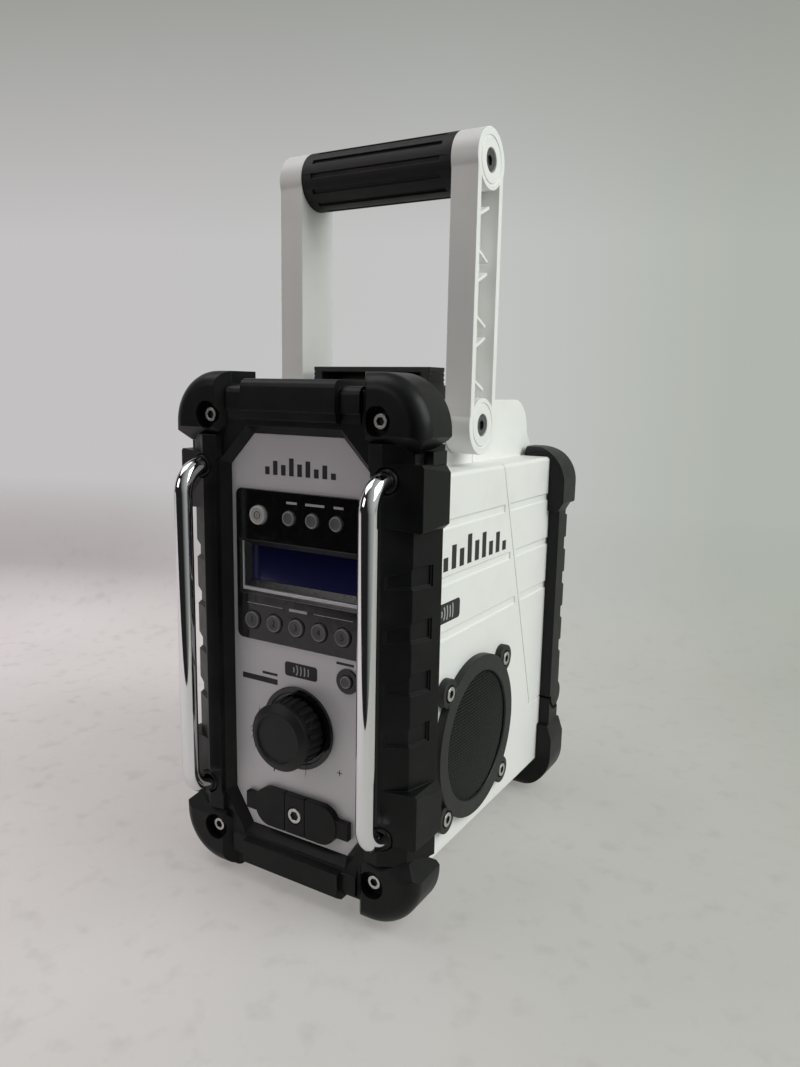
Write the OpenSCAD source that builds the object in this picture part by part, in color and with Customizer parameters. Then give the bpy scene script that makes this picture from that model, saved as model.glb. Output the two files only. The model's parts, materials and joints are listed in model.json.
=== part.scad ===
// Jobsite radio: white case in a black elastomer frame, front panel with display and knob,
// two chrome guard bars, folding carry handle, rear battery door with a top latch.
// Millimetres, +X to the right, -Y to the front, +Z up, origin on the ground under the middle.

/* [Overall] */
// Width over the corner blocks of the front frame
overall_w = 166; // [160:1:176]
// Depth from the front face of the frame to the rear face of the rear bumper
case_depth = 218.5; // [212:0.5:228]
// Height of the front frame above its feet
frame_h = 295; // [290:1:304]
// Height of the rubber feet
foot_h = 3; // [2:0.5:5]

/* [Case] */
// Width of the white case
case_w = 143.3; // [140:0.5:146]
// Wall of the white case and of the door
case_wall = 3; // [2:0.25:4]
// Case floor above the underside of the frame
case_floor_up = 23; // [20:1:26]
// Case top below the top of the frame
case_top_down = 52; // [50:1:56]
// Radius along the long edges of the case
case_edge_r = 2.5; // [2:0.5:6]
// Width of the hump that carries the handle and the latch
hump_w = 100; // [96:1:102]
// Height of the hump over the case top
hump_h = 38; // [36:1:40]
// Distance from the front face of the frame to the door joint on the case top
door_joint_y = 119.5; // [118:0.5:122]
// How far the door joint runs back on its way down
door_joint_slope = 59; // [55:1:62]
// Gap between the door and the case
door_gap = 0.6; // [0.4:0.1:1]

/* [Front frame] */
// Depth of the front frame
frame_d = 28.25; // [26:0.25:32]
// Width of a corner block
block_w = 39; // [36:1:42]
// Height of a corner block
block_h = 39; // [36:1:42]
// Radius of the outer corners of the frame
block_r = 29; // [24:1:32]
// Radius of the front edges of a corner block
block_edge_r = 9; // [5:1:11]
// How far the frame sides stand in from the corner blocks
side_inset = 3.5; // [2:0.5:5]
// Height of one recess in the frame sides
notch_h = 11.5; // [9:0.5:13]
// Spacing of the recesses in the frame sides
notch_pitch = 28; // [26:1:30]
// Depth of the recesses in the frame sides
notch_d = 1.8; // [1.2:0.1:3]
// Height of the lowest recess over the underside of the frame
notch_up = 109.4; // [106:0.2:112]

/* [Front panel] */
// Depth of the panel behind the front face of the frame
panel_recess = 10.25; // [8:0.25:12]
// Thickness of the panel
panel_t = 2.5; // [2:0.25:3]
// Width of the panel between the frame sides
panel_w = 94; // [92:1:97]
// Width of the display bezel
bezel_w = 86; // [84:0.5:88]
// Height of the display bezel
bezel_h = 86.8; // [84:0.4:90]
// Black margin at each side of the display window
window_side = 7; // [6:0.5:9]
// Height of the display window
window_h = 19.7; // [18:0.1:22]
// Depth of the display window behind the face of the bezel
window_sink = 5.5; // [4.5:0.1:6]
// Diameter of the power button
power_d = 10.8; // [9.8:0.2:12]
// Diameter of the function buttons
function_d = 8.2; // [7.4:0.2:9.4]
// Spacing of the function buttons
function_pitch = 15.7; // [14:0.1:16.5]
// Diameter of the preset buttons
preset_d = 10; // [9:0.2:12]
// Spacing of the preset buttons
preset_pitch = 15.6; // [14.5:0.1:16.2]
// Diameter of the tuning button
tune_d = 7; // [6:0.5:8]
// Travel of every button
button_travel = 1; // [0.8:0.1:1.2]

/* [Knob] */
// Height of the knob over the lower edge of the panel
knob_up = 68; // [66:0.5:70]
// Diameter of the rim of the knob
knob_d = 38.4; // [36:0.2:40]
// Length of the knob
knob_l = 17; // [14:0.5:20]
// Number of flutes round the knob
knob_flutes = 24; // [16:1:30]
// Diameter of the skirt ring round the knob
skirt_d = 48; // [44:1:52]
// Push travel of the knob
knob_push = 0.8; // [0.6:0.1:1]
// Diameter of the encoder shaft
encoder_shaft_d = 6; // [5:0.5:7]

/* [Socket cover] */
// Width of the rubber socket cover without its pull tabs
cover_w = 58; // [54:1:62]
// Height of the socket cover
cover_h = 23.5; // [21:0.5:26]
// Thickness of the socket cover
cover_t = 4.5; // [3.5:0.5:6]
// Bore of the audio socket
aux_bore = 3.6; // [3.5:0.05:3.7]
// Bore of the supply socket
supply_bore = 5.6; // [5.5:0.1:6.5]

/* [Guard bars] */
// Diameter of the chrome bars
bar_d = 10; // [8:0.5:11]
// Distance of a bar from the middle of the radio
bar_x = 61; // [60:0.5:63]
// Reach of the bars in front of the frame
bar_reach = 18.7; // [17:0.1:22]
// Bend radius of the bars on their centre line
bar_bend_r = 14; // [12:0.5:16]

/* [Speakers] */
// Diameter of the grille ring
grille_d = 98; // [94:1:102]
// Diameter of the mesh in the grille
mesh_d = 80; // [76:1:84]
// Thickness of the grille over the case side
grille_t = 5; // [4:0.5:6]
// Distance of the speaker centre behind the front face of the frame
speaker_y = 86.25; // [84:0.25:88]
// Height of the speaker centre over the case floor
speaker_up = 60.3; // [58:0.1:64]

/* [Handle] */
// Distance of the handle pivot behind the front face of the frame
pivot_y = 96.25; // [94:0.25:98]
// Height of the handle pivot over the case top
pivot_up = 24; // [23:0.5:26]
// Distance from the handle pivot to the grip axis
handle_l = 144; // [130:1:150]
// Radius of the rounded ends of the arms
arm_r = 17; // [16:0.5:18]
// Thickness of an arm
arm_t = 16.5; // [14:0.5:18]
// Width of the rim round the pocket of an arm
arm_rim = 4.5; // [3:0.5:6]
// Depth of the pocket in an arm
pocket_d = 11; // [8:0.5:12]
// Number of ribs in the pocket of an arm
arm_ribs = 6; // [4:1:7]
// Diameter of the grip
grip_d = 34; // [30:1:36]
// Number of slots round the grip
grip_slots = 12; // [8:1:18]
// Radial clearance of pins and shafts in their bores
run_fit = 0.05; // [0.02:0.01:0.1]

/* [Rear bumper] */
// Depth of the rear bumper
bumper_d = 23.85; // [22:0.25:26]
// How far the rear bumper laps over the back of the case from each side
bumper_lap = 18.5; // [17:0.5:20]
// Radius of the hinge barrel of the door
barrel_r = 9; // [8:0.25:9.5]
// Diameter of the door hinge pin
hinge_pin_d = 4; // [3:0.5:5]
// Height of the door hinge over the case floor
hinge_up = 48; // [46:1:52]

/* [Latch] */
// Width of the latch
latch_w = 82; // [74:1:86]
// Height of the finger block over the hump
latch_h = 18.5; // [16:0.5:20]
// Depth of the finger block
latch_d = 18; // [15:0.5:20]
// Diameter of the latch pin
latch_pin_d = 3; // [2.5:0.5:4]

/* [Hidden] */
$fn = 64;

// Small clearances and thicknesses
touch = 0.1;
slide_gap = 0.3;
cut = 1;
front = (bar_reach - case_depth) / 2;
// Heights
frame_low = foot_h;
frame_top = foot_h + frame_h;
case_low = foot_h + case_floor_up;
case_top = frame_top - case_top_down;
hump_top = case_top + hump_h;
pivot_z = case_top + pivot_up;
grip_z = pivot_z + handle_l;
speaker_z = case_low + speaker_up;
hinge_z = case_low + hinge_up;
panel_top = frame_top - 33.5;
panel_low = foot_h + 29;
bezel_top = panel_top - 30.7;
bezel_low = bezel_top - bezel_h;
function_z = bezel_top - 14.2;
preset_z = bezel_low + 11.8;
window_z = bezel_top - 42.9;
tune_z = bezel_low - 12.7;
knob_z = panel_low + knob_up;
cover_z = panel_low + 16;
screw_top_z = frame_top - 24;
screw_low_z = frame_low + 24;
bar_top_z = case_top - 0.8;
bar_low_z = panel_low + 23;
// Half widths
frame_x = overall_w / 2;
side_x = frame_x - side_inset;
rail_in = 6;
rail_d = 8.5;
case_x = case_w / 2;
hump_x = hump_w / 2;
bezel_x = bezel_w / 2;
window_x = bezel_x - window_side;
screw_x = frame_x - 27;
power_x = -26;
function_x = 11.1;
tune_x = 33.5;
socket_x = 17;
// Depths behind the front face of the frame
face_d = 5.25;
bezel_face_d = panel_recess - 1.5;
window_d = bezel_face_d + window_sink;
window_t = 1;
panel_back_d = panel_recess + panel_t;
bulkhead_back_d = panel_back_d + 11.5;
flange_d = bulkhead_back_d - 3.5;
bulkhead_x = frame_x - 19;
case_back_d = case_depth - 5.25;
bumper_front_d = case_depth - bumper_d;
barrel_d = case_depth - barrel_r;
joint_low_d = door_joint_y + door_joint_slope;
grille_x = case_x + grille_t;
mesh_t = 0.8;
mesh_x = grille_x - 2.4;
arm_in_x = hump_x + 0.75;
arm_out_x = arm_in_x + arm_t;
bumper_in_x = case_x - bumper_lap;
bumper_bar_up = 4;
bumper_top = pivot_z - arm_r - 0.5;
trough_r = barrel_r + 2.2;
joint_angle = atan(door_joint_slope / (case_top - hinge_z));
latch_pin_z = hump_top + 4.5;
latch_pin_d_back = door_joint_y + 9.5;
latch_front_d = pivot_y - 17;
block_foot = 8;
ridge_x = frame_x - 23.5;
ridge_d = 0.4;
screw_head_r = 3.8;
screw_head_t = 3;
screw_well_d = 6.5;
screw_l = 14;
screw_r = 2.2;
hinge_lug_x = 36;
hinge_lug_w = 11;
hinge_lug_r = 6;
bumper_screw_x = bumper_in_x + 9;
bumper_low_screw_z = case_low + 22;
bumper_top_screw_z = case_top - 34;
// Depths of the knob and its encoder
knob_back_d = panel_recess - 2 - knob_push;
knob_front_d = knob_back_d - knob_l;
encoder_l = 10;
// Grille screws, as steps from the speaker centre
screw_step = 37.5;
lobe_r = 8.5;
// Battery tray, along the slope of the bay wall
tray_x = 41;
tray_top = -16;
tray_low = -150;
tray_t = 3;
rail_h = 15;
// Radius of the tube in the grip
tube_r = 9;

// Place a distance behind the front face of the frame
function at(d) = front + d;

// Solid with its outline in X and Z, from depth d0 to depth d1
module deep(d0, d1) {
    translate([0, at(d1), 0])
        rotate([90, 0, 0])
            linear_extrude(d1 - d0)
                children();
}

// Solid with its outline in Y and Z, from x0 to x1
module wide(x0, x1) {
    translate([x0, 0, 0])
        rotate([90, 0, 90])
            linear_extrude(x1 - x0)
                children();
}

// The same piece on both sides
module both_sides() {
    children();
    mirror([1, 0, 0])
        children();
}

// Rectangle between two corners
module span(x0, z0, x1, z1) {
    translate([x0, z0])
        square([x1 - x0, z1 - z0]);
}

// Rectangle between two corners, with round corners
module round_span(x0, z0, x1, z1, r) {
    span(x0 + r, z0, x1 - r, z1);
    span(x0, z0 + r, x1, z1 - r);
    for (x = [x0 + r, x1 - r], z = [z0 + r, z1 - r])
        translate([x, z])
            circle(r);
}

// Round bar along Y from depth d0 to depth d1
module rod_y(x, z, d0, d1, r) {
    translate([x, at(d0), z])
        rotate([-90, 0, 0])
            cylinder(h = d1 - d0, r = r);
}

// Round bar along X from x0 to x1, at depth d
module rod_x(x0, x1, d, z, r) {
    translate([x0, at(d), z])
        rotate([0, 90, 0])
            cylinder(h = x1 - x0, r = r);
}

// Outline of the front panel, grown outwards by g
module panel_outline(g) {
    top_x = 30;
    low_x = 34;
    top_corner = 17.5;
    low_corner = 20;
    corner_share = 0.42;
    polygon([
        [-top_x - g * corner_share, panel_top + g],
        [top_x + g * corner_share, panel_top + g],
        [panel_w / 2 + g, panel_top - top_corner + g * corner_share],
        [panel_w / 2 + g, panel_low + low_corner - g * corner_share],
        [low_x + g * corner_share, panel_low - g],
        [-low_x - g * corner_share, panel_low - g],
        [-panel_w / 2 - g, panel_low + low_corner - g * corner_share],
        [-panel_w / 2 - g, panel_top - top_corner + g * corner_share]
    ]);
}

// Outline of the white case across its width, made smaller by g all round
module case_outline(g) {
    round_span(-case_x + g, case_low + g, case_x - g, case_top - g, case_edge_r);
}

// Outline of the front plate of the housing inside the frame
module bulkhead_outline() {
    top_margin = 14;
    low_margin = 11;
    corner = 20;
    round_span(-bulkhead_x, frame_low + low_margin, bulkhead_x, frame_top - top_margin, corner);
}

// Side view of all that lies in front of and under the door joint, moved by g
module housing_side(g) {
    polygon([
        [at(0), 0], [at(case_depth + cut), 0], [at(case_depth + cut), hinge_z - g],
        [at(joint_low_d - g), hinge_z - g], [at(door_joint_y - g), case_top],
        [at(door_joint_y - g), hump_top + cut], [at(0), hump_top + cut]
    ]);
}

// Side view of all that lies behind the door joint, moved by g
module door_side(g) {
    polygon([
        [at(case_depth + cut), hinge_z + g], [at(joint_low_d + g), hinge_z + g],
        [at(door_joint_y + g), case_top], [at(door_joint_y + g), hump_top + cut],
        [at(case_depth + cut), hump_top + cut]
    ]);
}

// Grooves in the sides of the case, in front of the door joint or behind it
module side_grooves(in_front) {
    groove_h = 4.6;
    groove_t = 1;
    first_down = 27.4;
    pitch = 31;
    for (k = [0 : 2]) {
        z = case_top - first_down - k * pitch;
        joint_d = door_joint_y + (case_top - z) * tan(joint_angle);
        from_d = in_front ? frame_d : joint_d + 3;
        to_d = in_front ? joint_d - 5 : case_depth;
        both_sides()
            translate([case_x - groove_t, at(from_d), z - groove_h / 2])
                cube([groove_t + cut, to_d - from_d, groove_h]);
    }
}

module main_housing() {
    opening_r = mesh_d / 2 + 1;
    board_side = 5;
    board_low = 9;
    board_high = 20;
    boss_r = 4.5;
    boss_l = arm_t - 4;
    tower_front = pivot_y - 22;
    color("whitesmoke")
    difference() {
        union() {
            intersection() {
                deep(flange_d, case_back_d) case_outline(0);
                wide(-case_x, case_x) housing_side(0);
            }
            deep(panel_back_d, bulkhead_back_d) bulkhead_outline();
            wide(-hump_x, hump_x)
                round_span(at(tower_front), case_top - case_wall, at(door_joint_y), hump_top, 2.5);
            both_sides()
                rod_x(hump_x - cut, arm_in_x + boss_l, pivot_y, pivot_z, boss_r);
            both_sides()
                wide(hinge_lug_x, hinge_lug_x + hinge_lug_w)
                    hinge_lug();
        }
        housing_hollow();
        // tower hollow
        wide(-hump_x + case_wall, hump_x - case_wall)
            span(at(tower_front + case_wall), case_top - 2 * case_wall,
                at(door_joint_y - case_wall), hump_top - case_wall);
        // window behind the panel for the button board, the encoder and the sockets
        deep(panel_back_d - cut, panel_back_d + case_wall + bulkhead_back_d)
            span(-panel_w / 2 + board_side, panel_low + board_low,
                panel_w / 2 - board_side, panel_top - board_high);
        both_sides()
            rod_x(case_x - case_wall - cut, case_x + cut, speaker_y, speaker_z, opening_r);
        side_grooves(true);
        both_sides()
            for (d = [-screw_step, screw_step], u = [-screw_step, screw_step])
                rod_x(case_x - case_wall - cut, case_x + cut, speaker_y + d, speaker_z + u,
                    screw_r + touch);
        both_sides()
            rod_y(bumper_screw_x, bumper_low_screw_z, case_back_d - case_wall - cut,
                case_back_d + cut, screw_r + touch);
        both_sides()
            rod_x(arm_in_x, arm_out_x, pivot_y, pivot_z, screw_r + touch);
        // holes for the frame screws
        for (x = [-screw_x, screw_x], z = [screw_low_z, screw_top_z])
            rod_y(x, z, panel_back_d - cut, bulkhead_back_d - 2, screw_r + touch);
        both_sides()
            rod_x(hinge_lug_x - cut, hinge_lug_x + hinge_lug_w + cut, barrel_d, hinge_z,
                hinge_pin_d / 2 + run_fit);
    }
}

// Hollow of the housing in front of and under the battery bay
module housing_hollow() {
    wall_run = case_wall / cos(joint_angle);
    difference() {
        intersection() {
            union() {
                deep(panel_back_d + case_wall, flange_d + case_wall + touch)
                    span(-bulkhead_x + case_wall, screw_low_z + 10, bulkhead_x - case_wall,
                        case_top - case_wall);
                deep(flange_d + case_wall, case_back_d - case_wall) case_outline(case_wall);
            }
            wide(-case_x, case_x)
                polygon([
                    [at(panel_back_d), case_low], [at(case_back_d), case_low],
                    [at(case_back_d), hinge_z - case_wall],
                    [at(joint_low_d - wall_run), hinge_z - case_wall],
                    [at(door_joint_y - wall_run), case_top], [at(panel_back_d), case_top]
                ]);
        }
        rod_x(-case_x, case_x, barrel_d, hinge_z, trough_r + case_wall);
    }
    // trough for the door barrel
    difference() {
        rod_x(-case_x - cut, case_x + cut, barrel_d, hinge_z, trough_r);
        both_sides()
            wide(hinge_lug_x, hinge_lug_x + hinge_lug_w)
                hinge_lug();
    }
}

// Side view of one hinge lug of the housing
module hinge_lug() {
    translate([at(barrel_d), hinge_z])
        circle(hinge_lug_r);
    translate([at(barrel_d) - hinge_lug_r, hinge_z - trough_r - 1])
        square([hinge_lug_r * 1.5, trough_r + 1]);
}

// Outline of one corner block of the frame, right and at the top
module block_outline() {
    in_x = frame_x - block_w;
    low_z = frame_top - block_h;
    chamfer = 9;
    polygon([
        [in_x, frame_top + cut], [in_x, low_z + chamfer + 3], [in_x + chamfer, low_z],
        [frame_x - block_foot, low_z], [frame_x, low_z + block_foot],
        [frame_x + cut, low_z + block_foot], [frame_x + cut, frame_top + cut]
    ]);
}

// Plan view of a strip of the frame whose outer front edge is round
module strip_plan(x0, x1, d, r) {
    translate([x0, at(d + r)])
        square([x1 - x0, frame_d - d - r]);
    translate([x0, at(d)])
        square([x1 - x0 - r, frame_d - d]);
    translate([x1 - r, at(d + r)])
        circle(r);
}

// Plan view of a corner block, sloped towards the middle of the frame
module block_plan() {
    in_x = frame_x - block_w;
    polygon([
        [in_x, at(block_foot)], [in_x + block_foot - 2, at(0)], [frame_x + cut, at(0)],
        [frame_x + cut, at(frame_d)], [in_x, at(frame_d)]
    ]);
}

// Side view of a corner block, with its chamfered foot in front and at the rear
module block_side() {
    low_z = frame_top - block_h;
    chamfer_d = 9;
    chamfer_up = 6;
    polygon([
        [at(0), frame_top + cut], [at(frame_d), frame_top + cut],
        [at(frame_d), low_z + chamfer_up], [at(frame_d - chamfer_d), low_z],
        [at(block_foot), low_z], [at(0), low_z + block_foot]
    ]);
}

// Body of a corner block, its round edge follows the round corner
module block_body() {
    in_x = frame_x - block_w;
    low_z = frame_top - block_h;
    corner_x = frame_x - block_r;
    corner_z = frame_top - block_r;
    // side strip
    translate([0, 0, low_z - cut])
        linear_extrude(corner_z - low_z + cut)
            strip_plan(in_x - cut, frame_x, 0, block_edge_r);
    // top strip
    intersection() {
        wide(in_x - cut, corner_x)
            round_span(at(0), low_z, at(frame_d + block_edge_r), frame_top, block_edge_r);
        deep(0, frame_d)
            span(in_x - cut, corner_z, corner_x, frame_top);
    }
    // round corner
    translate([corner_x, 0, corner_z])
        rotate([-90, 0, 0])
            rotate([0, 0, -90])
                rotate_extrude(angle = 90)
                    strip_plan(0, block_r, 0, block_edge_r);
}

// One corner block, right and at the top
module corner_block() {
    intersection() {
        block_body();
        deep(-cut, frame_d + cut) block_outline();
        translate([0, 0, frame_top - block_h - cut])
            linear_extrude(block_h + 2 * cut)
                block_plan();
        wide(0, frame_x + cut) block_side();
    }
}

// The four corner blocks
module four_corners() {
    middle_z = (frame_top + frame_low) / 2;
    both_sides() {
        children();
        translate([0, 0, 2 * middle_z])
            mirror([0, 0, 1])
                children();
    }
}

// Side view of the top bar, drop lowers its outer skin
module top_bar_side(drop) {
    bar_top = frame_top - 4;
    edge_r = 4.5;
    first_step = frame_top - 20.5;
    second_step = frame_top - 25.5;
    lip = panel_top + 2;
    translate([at(drop + edge_r), bar_top - drop - edge_r])
        circle(edge_r);
    polygon([
        [at(frame_d), bar_top - drop], [at(drop + edge_r), bar_top - drop],
        [at(drop), bar_top - drop - edge_r], [at(drop), first_step],
        [at(drop + 1), first_step - 0.5],
        [at(drop + 1.6), second_step], [at(face_d), second_step - 1],
        [at(face_d), lip], [at(panel_recess), lip - 4], [at(frame_d), lip - 4]
    ]);
}

// Side view of the bottom bar
module bottom_bar_side(drop) {
    bar_low = frame_low + 5;
    edge = frame_low + 8.5;
    step = frame_low + 22;
    polygon([
        [at(frame_d), bar_low + drop], [at(5 + drop), bar_low + drop],
        [at(drop), edge + drop], [at(drop), step], [at(face_d - 1), step + 1.5],
        [at(face_d), panel_low - 1], [at(panel_recess), panel_low + 3],
        [at(frame_d), panel_low + 3]
    ]);
}

// Plan view of a side wall: a front face that slopes back from its ridge, and a side face
// from its corner to the rear edge
module wall_plan(ridge, corner_x, corner_d, rear_x) {
    polygon([
        [ridge_x, at(frame_d)], [ridge_x, at(ridge)], [corner_x, at(corner_d)],
        [rear_x, at(frame_d)]
    ]);
}

// Recesses round the corner of one side wall, with sloped walls
module side_notches() {
    corner_x = side_x - rail_in;
    lean = atan((rail_d - ridge_d) / (corner_x - ridge_x));
    back = atan(rail_in / (frame_d - rail_d));
    front_w = 14;
    side_w = 14;
    wall = 1;
    taper = 5;
    lip = 0.5;
    for (k = [0 : 3])
        translate([corner_x, at(rail_d), frame_low + notch_up + k * notch_pitch - notch_h / 2]) {
            // on the front face
            rotate([0, 0, lean])
                translate([-front_w, notch_d, 0])
                    rotate([90, 0, 0]) {
                        linear_extrude(notch_d + cut)
                            polygon([
                                [wall, wall], [front_w + 2 * notch_d, wall],
                                [front_w + 2 * notch_d, notch_h - lip], [wall, notch_h - taper]
                            ]);
                        translate([0, 0, notch_d / 2])
                            linear_extrude(notch_d / 2 + cut)
                                square([front_w + notch_d, notch_h - taper - wall]);
                    }
            // on the side face
            rotate([0, 0, -back])
                translate([-notch_d, 0, 0]) {
                    translate([0, 0, wall])
                        cube([notch_d + cut, side_w - wall, notch_h - wall]);
                    translate([notch_d / 2, 0, 0])
                        cube([notch_d / 2 + cut, side_w, notch_h]);
                }
        }
}

// One half of the frame's sides and pads
module frame_side() {
    block_low = frame_top - block_h;
    low_block_top = frame_low + block_h + 1;
    upper_pad = [block_low - 39, block_low - 5];
    lower_pad = [low_block_top + 8.5, low_block_top + 40];
    opening_x = panel_w / 2 + 4.5;
    // side wall, and its inner slope towards the panel
    translate([0, 0, low_block_top - 4])
        linear_extrude(block_low - low_block_top + 8) {
            wall_plan(ridge_d, side_x - rail_in, rail_d, side_x);
            polygon([
                [panel_w / 2 - 8, at(frame_d)], [panel_w / 2 - 8, at(face_d)],
                [opening_x - 2, at(face_d)], [opening_x - 1, at(ridge_d + 1.4)],
                [ridge_x, at(ridge_d)], [ridge_x + touch, at(frame_d)]
            ]);
        }
    for (pad = [upper_pad, lower_pad])
        intersection() {
            translate([0, 0, pad[0]])
                linear_extrude(pad[1] - pad[0])
                    wall_plan(ridge_d + 0.4, frame_x - 2.5, 5, frame_x);
            deep(0, frame_d)
                polygon([
                    [ridge_x, pad[0] + 2], [side_x, pad[0]], [frame_x, pad[0] + 3],
                    [frame_x, pad[1] - 5], [side_x, pad[1]], [ridge_x, pad[1] - 1]
                ]);
        }
    // small lug between the pad and the upper block
    translate([side_x - 14, at(14), block_low - 6])
        cube([14 + side_inset - 2.5, frame_d - 14, 7]);
}

module front_frame() {
    raised_x = 31;
    seat_r = bar_d / 2 + 1.9;
    screw_well_r = 7.6;
    color("#1c1d1f")
    difference() {
        union() {
            four_corners() corner_block();
            both_sides() frame_side();
            wide(-raised_x, raised_x) top_bar_side(0);
            wide(-frame_x + block_w, frame_x - block_w) top_bar_side(3.2);
            wide(-raised_x - 3, raised_x + 3) bottom_bar_side(0);
            wide(-frame_x + block_w, frame_x - block_w) bottom_bar_side(3.2);
            // ring behind the bars and the blocks
            deep(face_d, frame_d)
                difference() {
                    round_span(-ridge_x - 7, frame_low + 9, ridge_x + 7, frame_top - 9, 20);
                    panel_outline(0);
                }
        }
        // opening over the panel, widening to the front
        hull() {
            deep(panel_recess - touch, panel_recess) panel_outline(0);
            deep(face_d - 0.2, face_d - 0.1) panel_outline(4.5);
        }
        deep(-cut, face_d) panel_outline(4.5);
        deep(panel_recess, panel_back_d) panel_outline(0);
        deep(panel_back_d - touch, bulkhead_back_d) bulkhead_outline();
        deep(flange_d, frame_d + cut) case_outline(0);
        four_corners() {
            rod_y(screw_x, screw_top_z, -cut, screw_well_d, screw_well_r);
            rod_y(screw_x, screw_top_z, 0, panel_back_d + cut, screw_r + touch);
        }
        both_sides()
            for (z = [bar_top_z, bar_low_z]) {
                rod_y(bar_x, z, -cut, face_d, seat_r);
                rod_y(bar_x, z, 0, panel_back_d - 0.5, bar_d / 2 + touch);
            }
        both_sides() side_notches();
    }
}

module front_panel() {
    socket_hole_r = 4.6;
    color("#a9abb0")
    difference() {
        deep(panel_recess, panel_back_d) panel_outline(-touch / 2);
        deep(0, panel_back_d + cut)
            span(-window_x - 3.2, window_z - window_h / 2 - 4, window_x + 3.2,
                window_z + window_h / 2 + 3.2);
        button_holes(-slide_gap);
        rod_y(0, knob_z, 0, panel_back_d + cut, encoder_shaft_d / 2 + 1.5);
        rod_y(tune_x, tune_z, 0, panel_back_d + cut, tune_d / 2 + slide_gap);
        for (x = [-socket_x, socket_x])
            rod_y(x, cover_z, 0, panel_back_d + cut, socket_hole_r);
        rod_y(0, cover_z, 0, panel_back_d + cut, 1.6);
    }
}

// Holes round the power, function and preset buttons
module button_holes(depth) {
    rod_y(power_x, function_z, depth, panel_back_d + cut, power_d / 2 + slide_gap);
    for (k = [-1 : 1])
        rod_y(function_x + k * function_pitch, function_z, depth, panel_back_d + cut,
            function_d / 2 + slide_gap);
    for (k = [-2 : 2])
        rod_y(k * preset_pitch, preset_z, depth, panel_back_d + cut,
            preset_d / 2 + slide_gap);
}

// Rectangle of the window, grown at its sides, its lower edge and its upper edge
module window_rect(grow, low, high) {
    span(-window_x - grow, window_z - window_h / 2 - low, window_x + grow,
        window_z + window_h / 2 + high);
}

module display_bezel() {
    corner = 4;
    color("#0d0d10")
    difference() {
        union() {
            deep(bezel_face_d, panel_recess)
                round_span(-bezel_x, bezel_low, bezel_x, bezel_top, corner);
            deep(panel_recess, window_d + window_t + 0.4)
                window_rect(3, 3.8, 3);
        }
        hull() {
            deep(bezel_face_d - touch, bezel_face_d) window_rect(5, 7.6, 4);
            deep(window_d - touch, window_d) window_rect(0, 0, 0);
        }
        deep(window_d - touch, window_d + 2 * window_t) window_rect(0, 0, 0);
        button_holes(bezel_face_d - cut);
    }
}

module display_window() {
    color([0.1, 0.12, 0.3, 0.6])
    deep(window_d, window_d + window_t)
        window_rect(-touch, -touch, -touch);
}

module display_module() {
    module_t = 5;
    module_d = window_d + window_t + 0.5;
    color("#14183c")
    deep(module_d, module_d + module_t) window_rect(3, 3, 3);
}

module button_board() {
    board_d = panel_back_d + 4.5;
    board_t = 1.6;
    switch_h = 1.2;
    board_x = panel_w / 2 - 5.3;
    edge = 6;
    post_r = 3;
    post_z = bezel_top - 4;
    color("#1e5a35")
    difference() {
        union() {
            deep(board_d, board_d + board_t)
                span(-board_x, tune_z - edge, board_x, bezel_top);
            for (k = [-2 : 2])
                rod_y(k * preset_pitch, preset_z, board_d - switch_h, board_d + touch, 3);
            for (k = [-1 : 1])
                rod_y(function_x + k * function_pitch, function_z, board_d - switch_h,
                    board_d + touch, 3);
            rod_y(power_x, function_z, board_d - switch_h, board_d + touch, 3);
            rod_y(tune_x, tune_z, board_d - switch_h, board_d + touch, 2.5);
            for (x = [-board_x + post_r, board_x - post_r])
                rod_y(x, post_z, panel_back_d, board_d + cut, post_r);
        }
        deep(board_d - cut, board_d + board_t + cut) window_rect(3.5, 4.3, 3.5);
    }
}

// A push button: cap, stem and the flange that keeps it behind the panel
module push_button(x, z, d, face) {
    flange_t = 1;
    flange_w = 0.9;
    rest_gap = 0.75;
    dome = 0.6;
    body_back = panel_back_d + rest_gap;
    difference() {
        union() {
            rod_y(x, z, face + dome, body_back + flange_t, d / 2);
            translate([x, at(face + dome), z])
                rotate([90, 0, 0])
                    cylinder(h = dome, r1 = d / 2, r2 = d / 2 - dome);
            rod_y(x, z, body_back, body_back + flange_t, d / 2 + flange_w);
        }
        // shallow dish in the cap
        translate([x, at(face) - d * 1.6 + 0.35, z])
            rotate([90, 0, 0])
                rotate_extrude()
                    intersection() {
                        circle(d * 1.6);
                        translate([0, -2 * d])
                            square([d, 4 * d]);
                    }
    }
}

module power_button() {
    color("#c3c4c6") push_button(power_x, function_z, power_d, bezel_face_d - 2);
}

module function_button(k) {
    color("#8b8c8f")
    push_button(function_x + k * function_pitch, function_z, function_d, bezel_face_d - 1.6);
}

module preset_button(k) {
    color("#4a4b4e")
    push_button(k * preset_pitch, preset_z, preset_d, bezel_face_d - 1.4);
}

module tune_button() {
    color("#8b8c8f") push_button(tune_x, tune_z, tune_d, panel_recess - 2.6);
}

module tune_ring() {
    ring_r = 7;
    color("#151517")
    difference() {
        rod_y(tune_x, tune_z, panel_recess - 1.2, panel_recess, ring_r);
        rod_y(tune_x, tune_z, 0, panel_recess + cut, tune_d / 2 + slide_gap);
    }
}

module knob_skirt() {
    rim = 3;
    skirt_t = 2;
    color("#151517")
    difference() {
        rod_y(0, knob_z, panel_recess - skirt_t, panel_recess, skirt_d / 2);
        rod_y(0, knob_z, 0, panel_recess - skirt_t / 2, skirt_d / 2 - rim);
        rod_y(0, knob_z, 0, panel_recess + cut, encoder_shaft_d / 2 + 1.5);
    }
}

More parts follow.
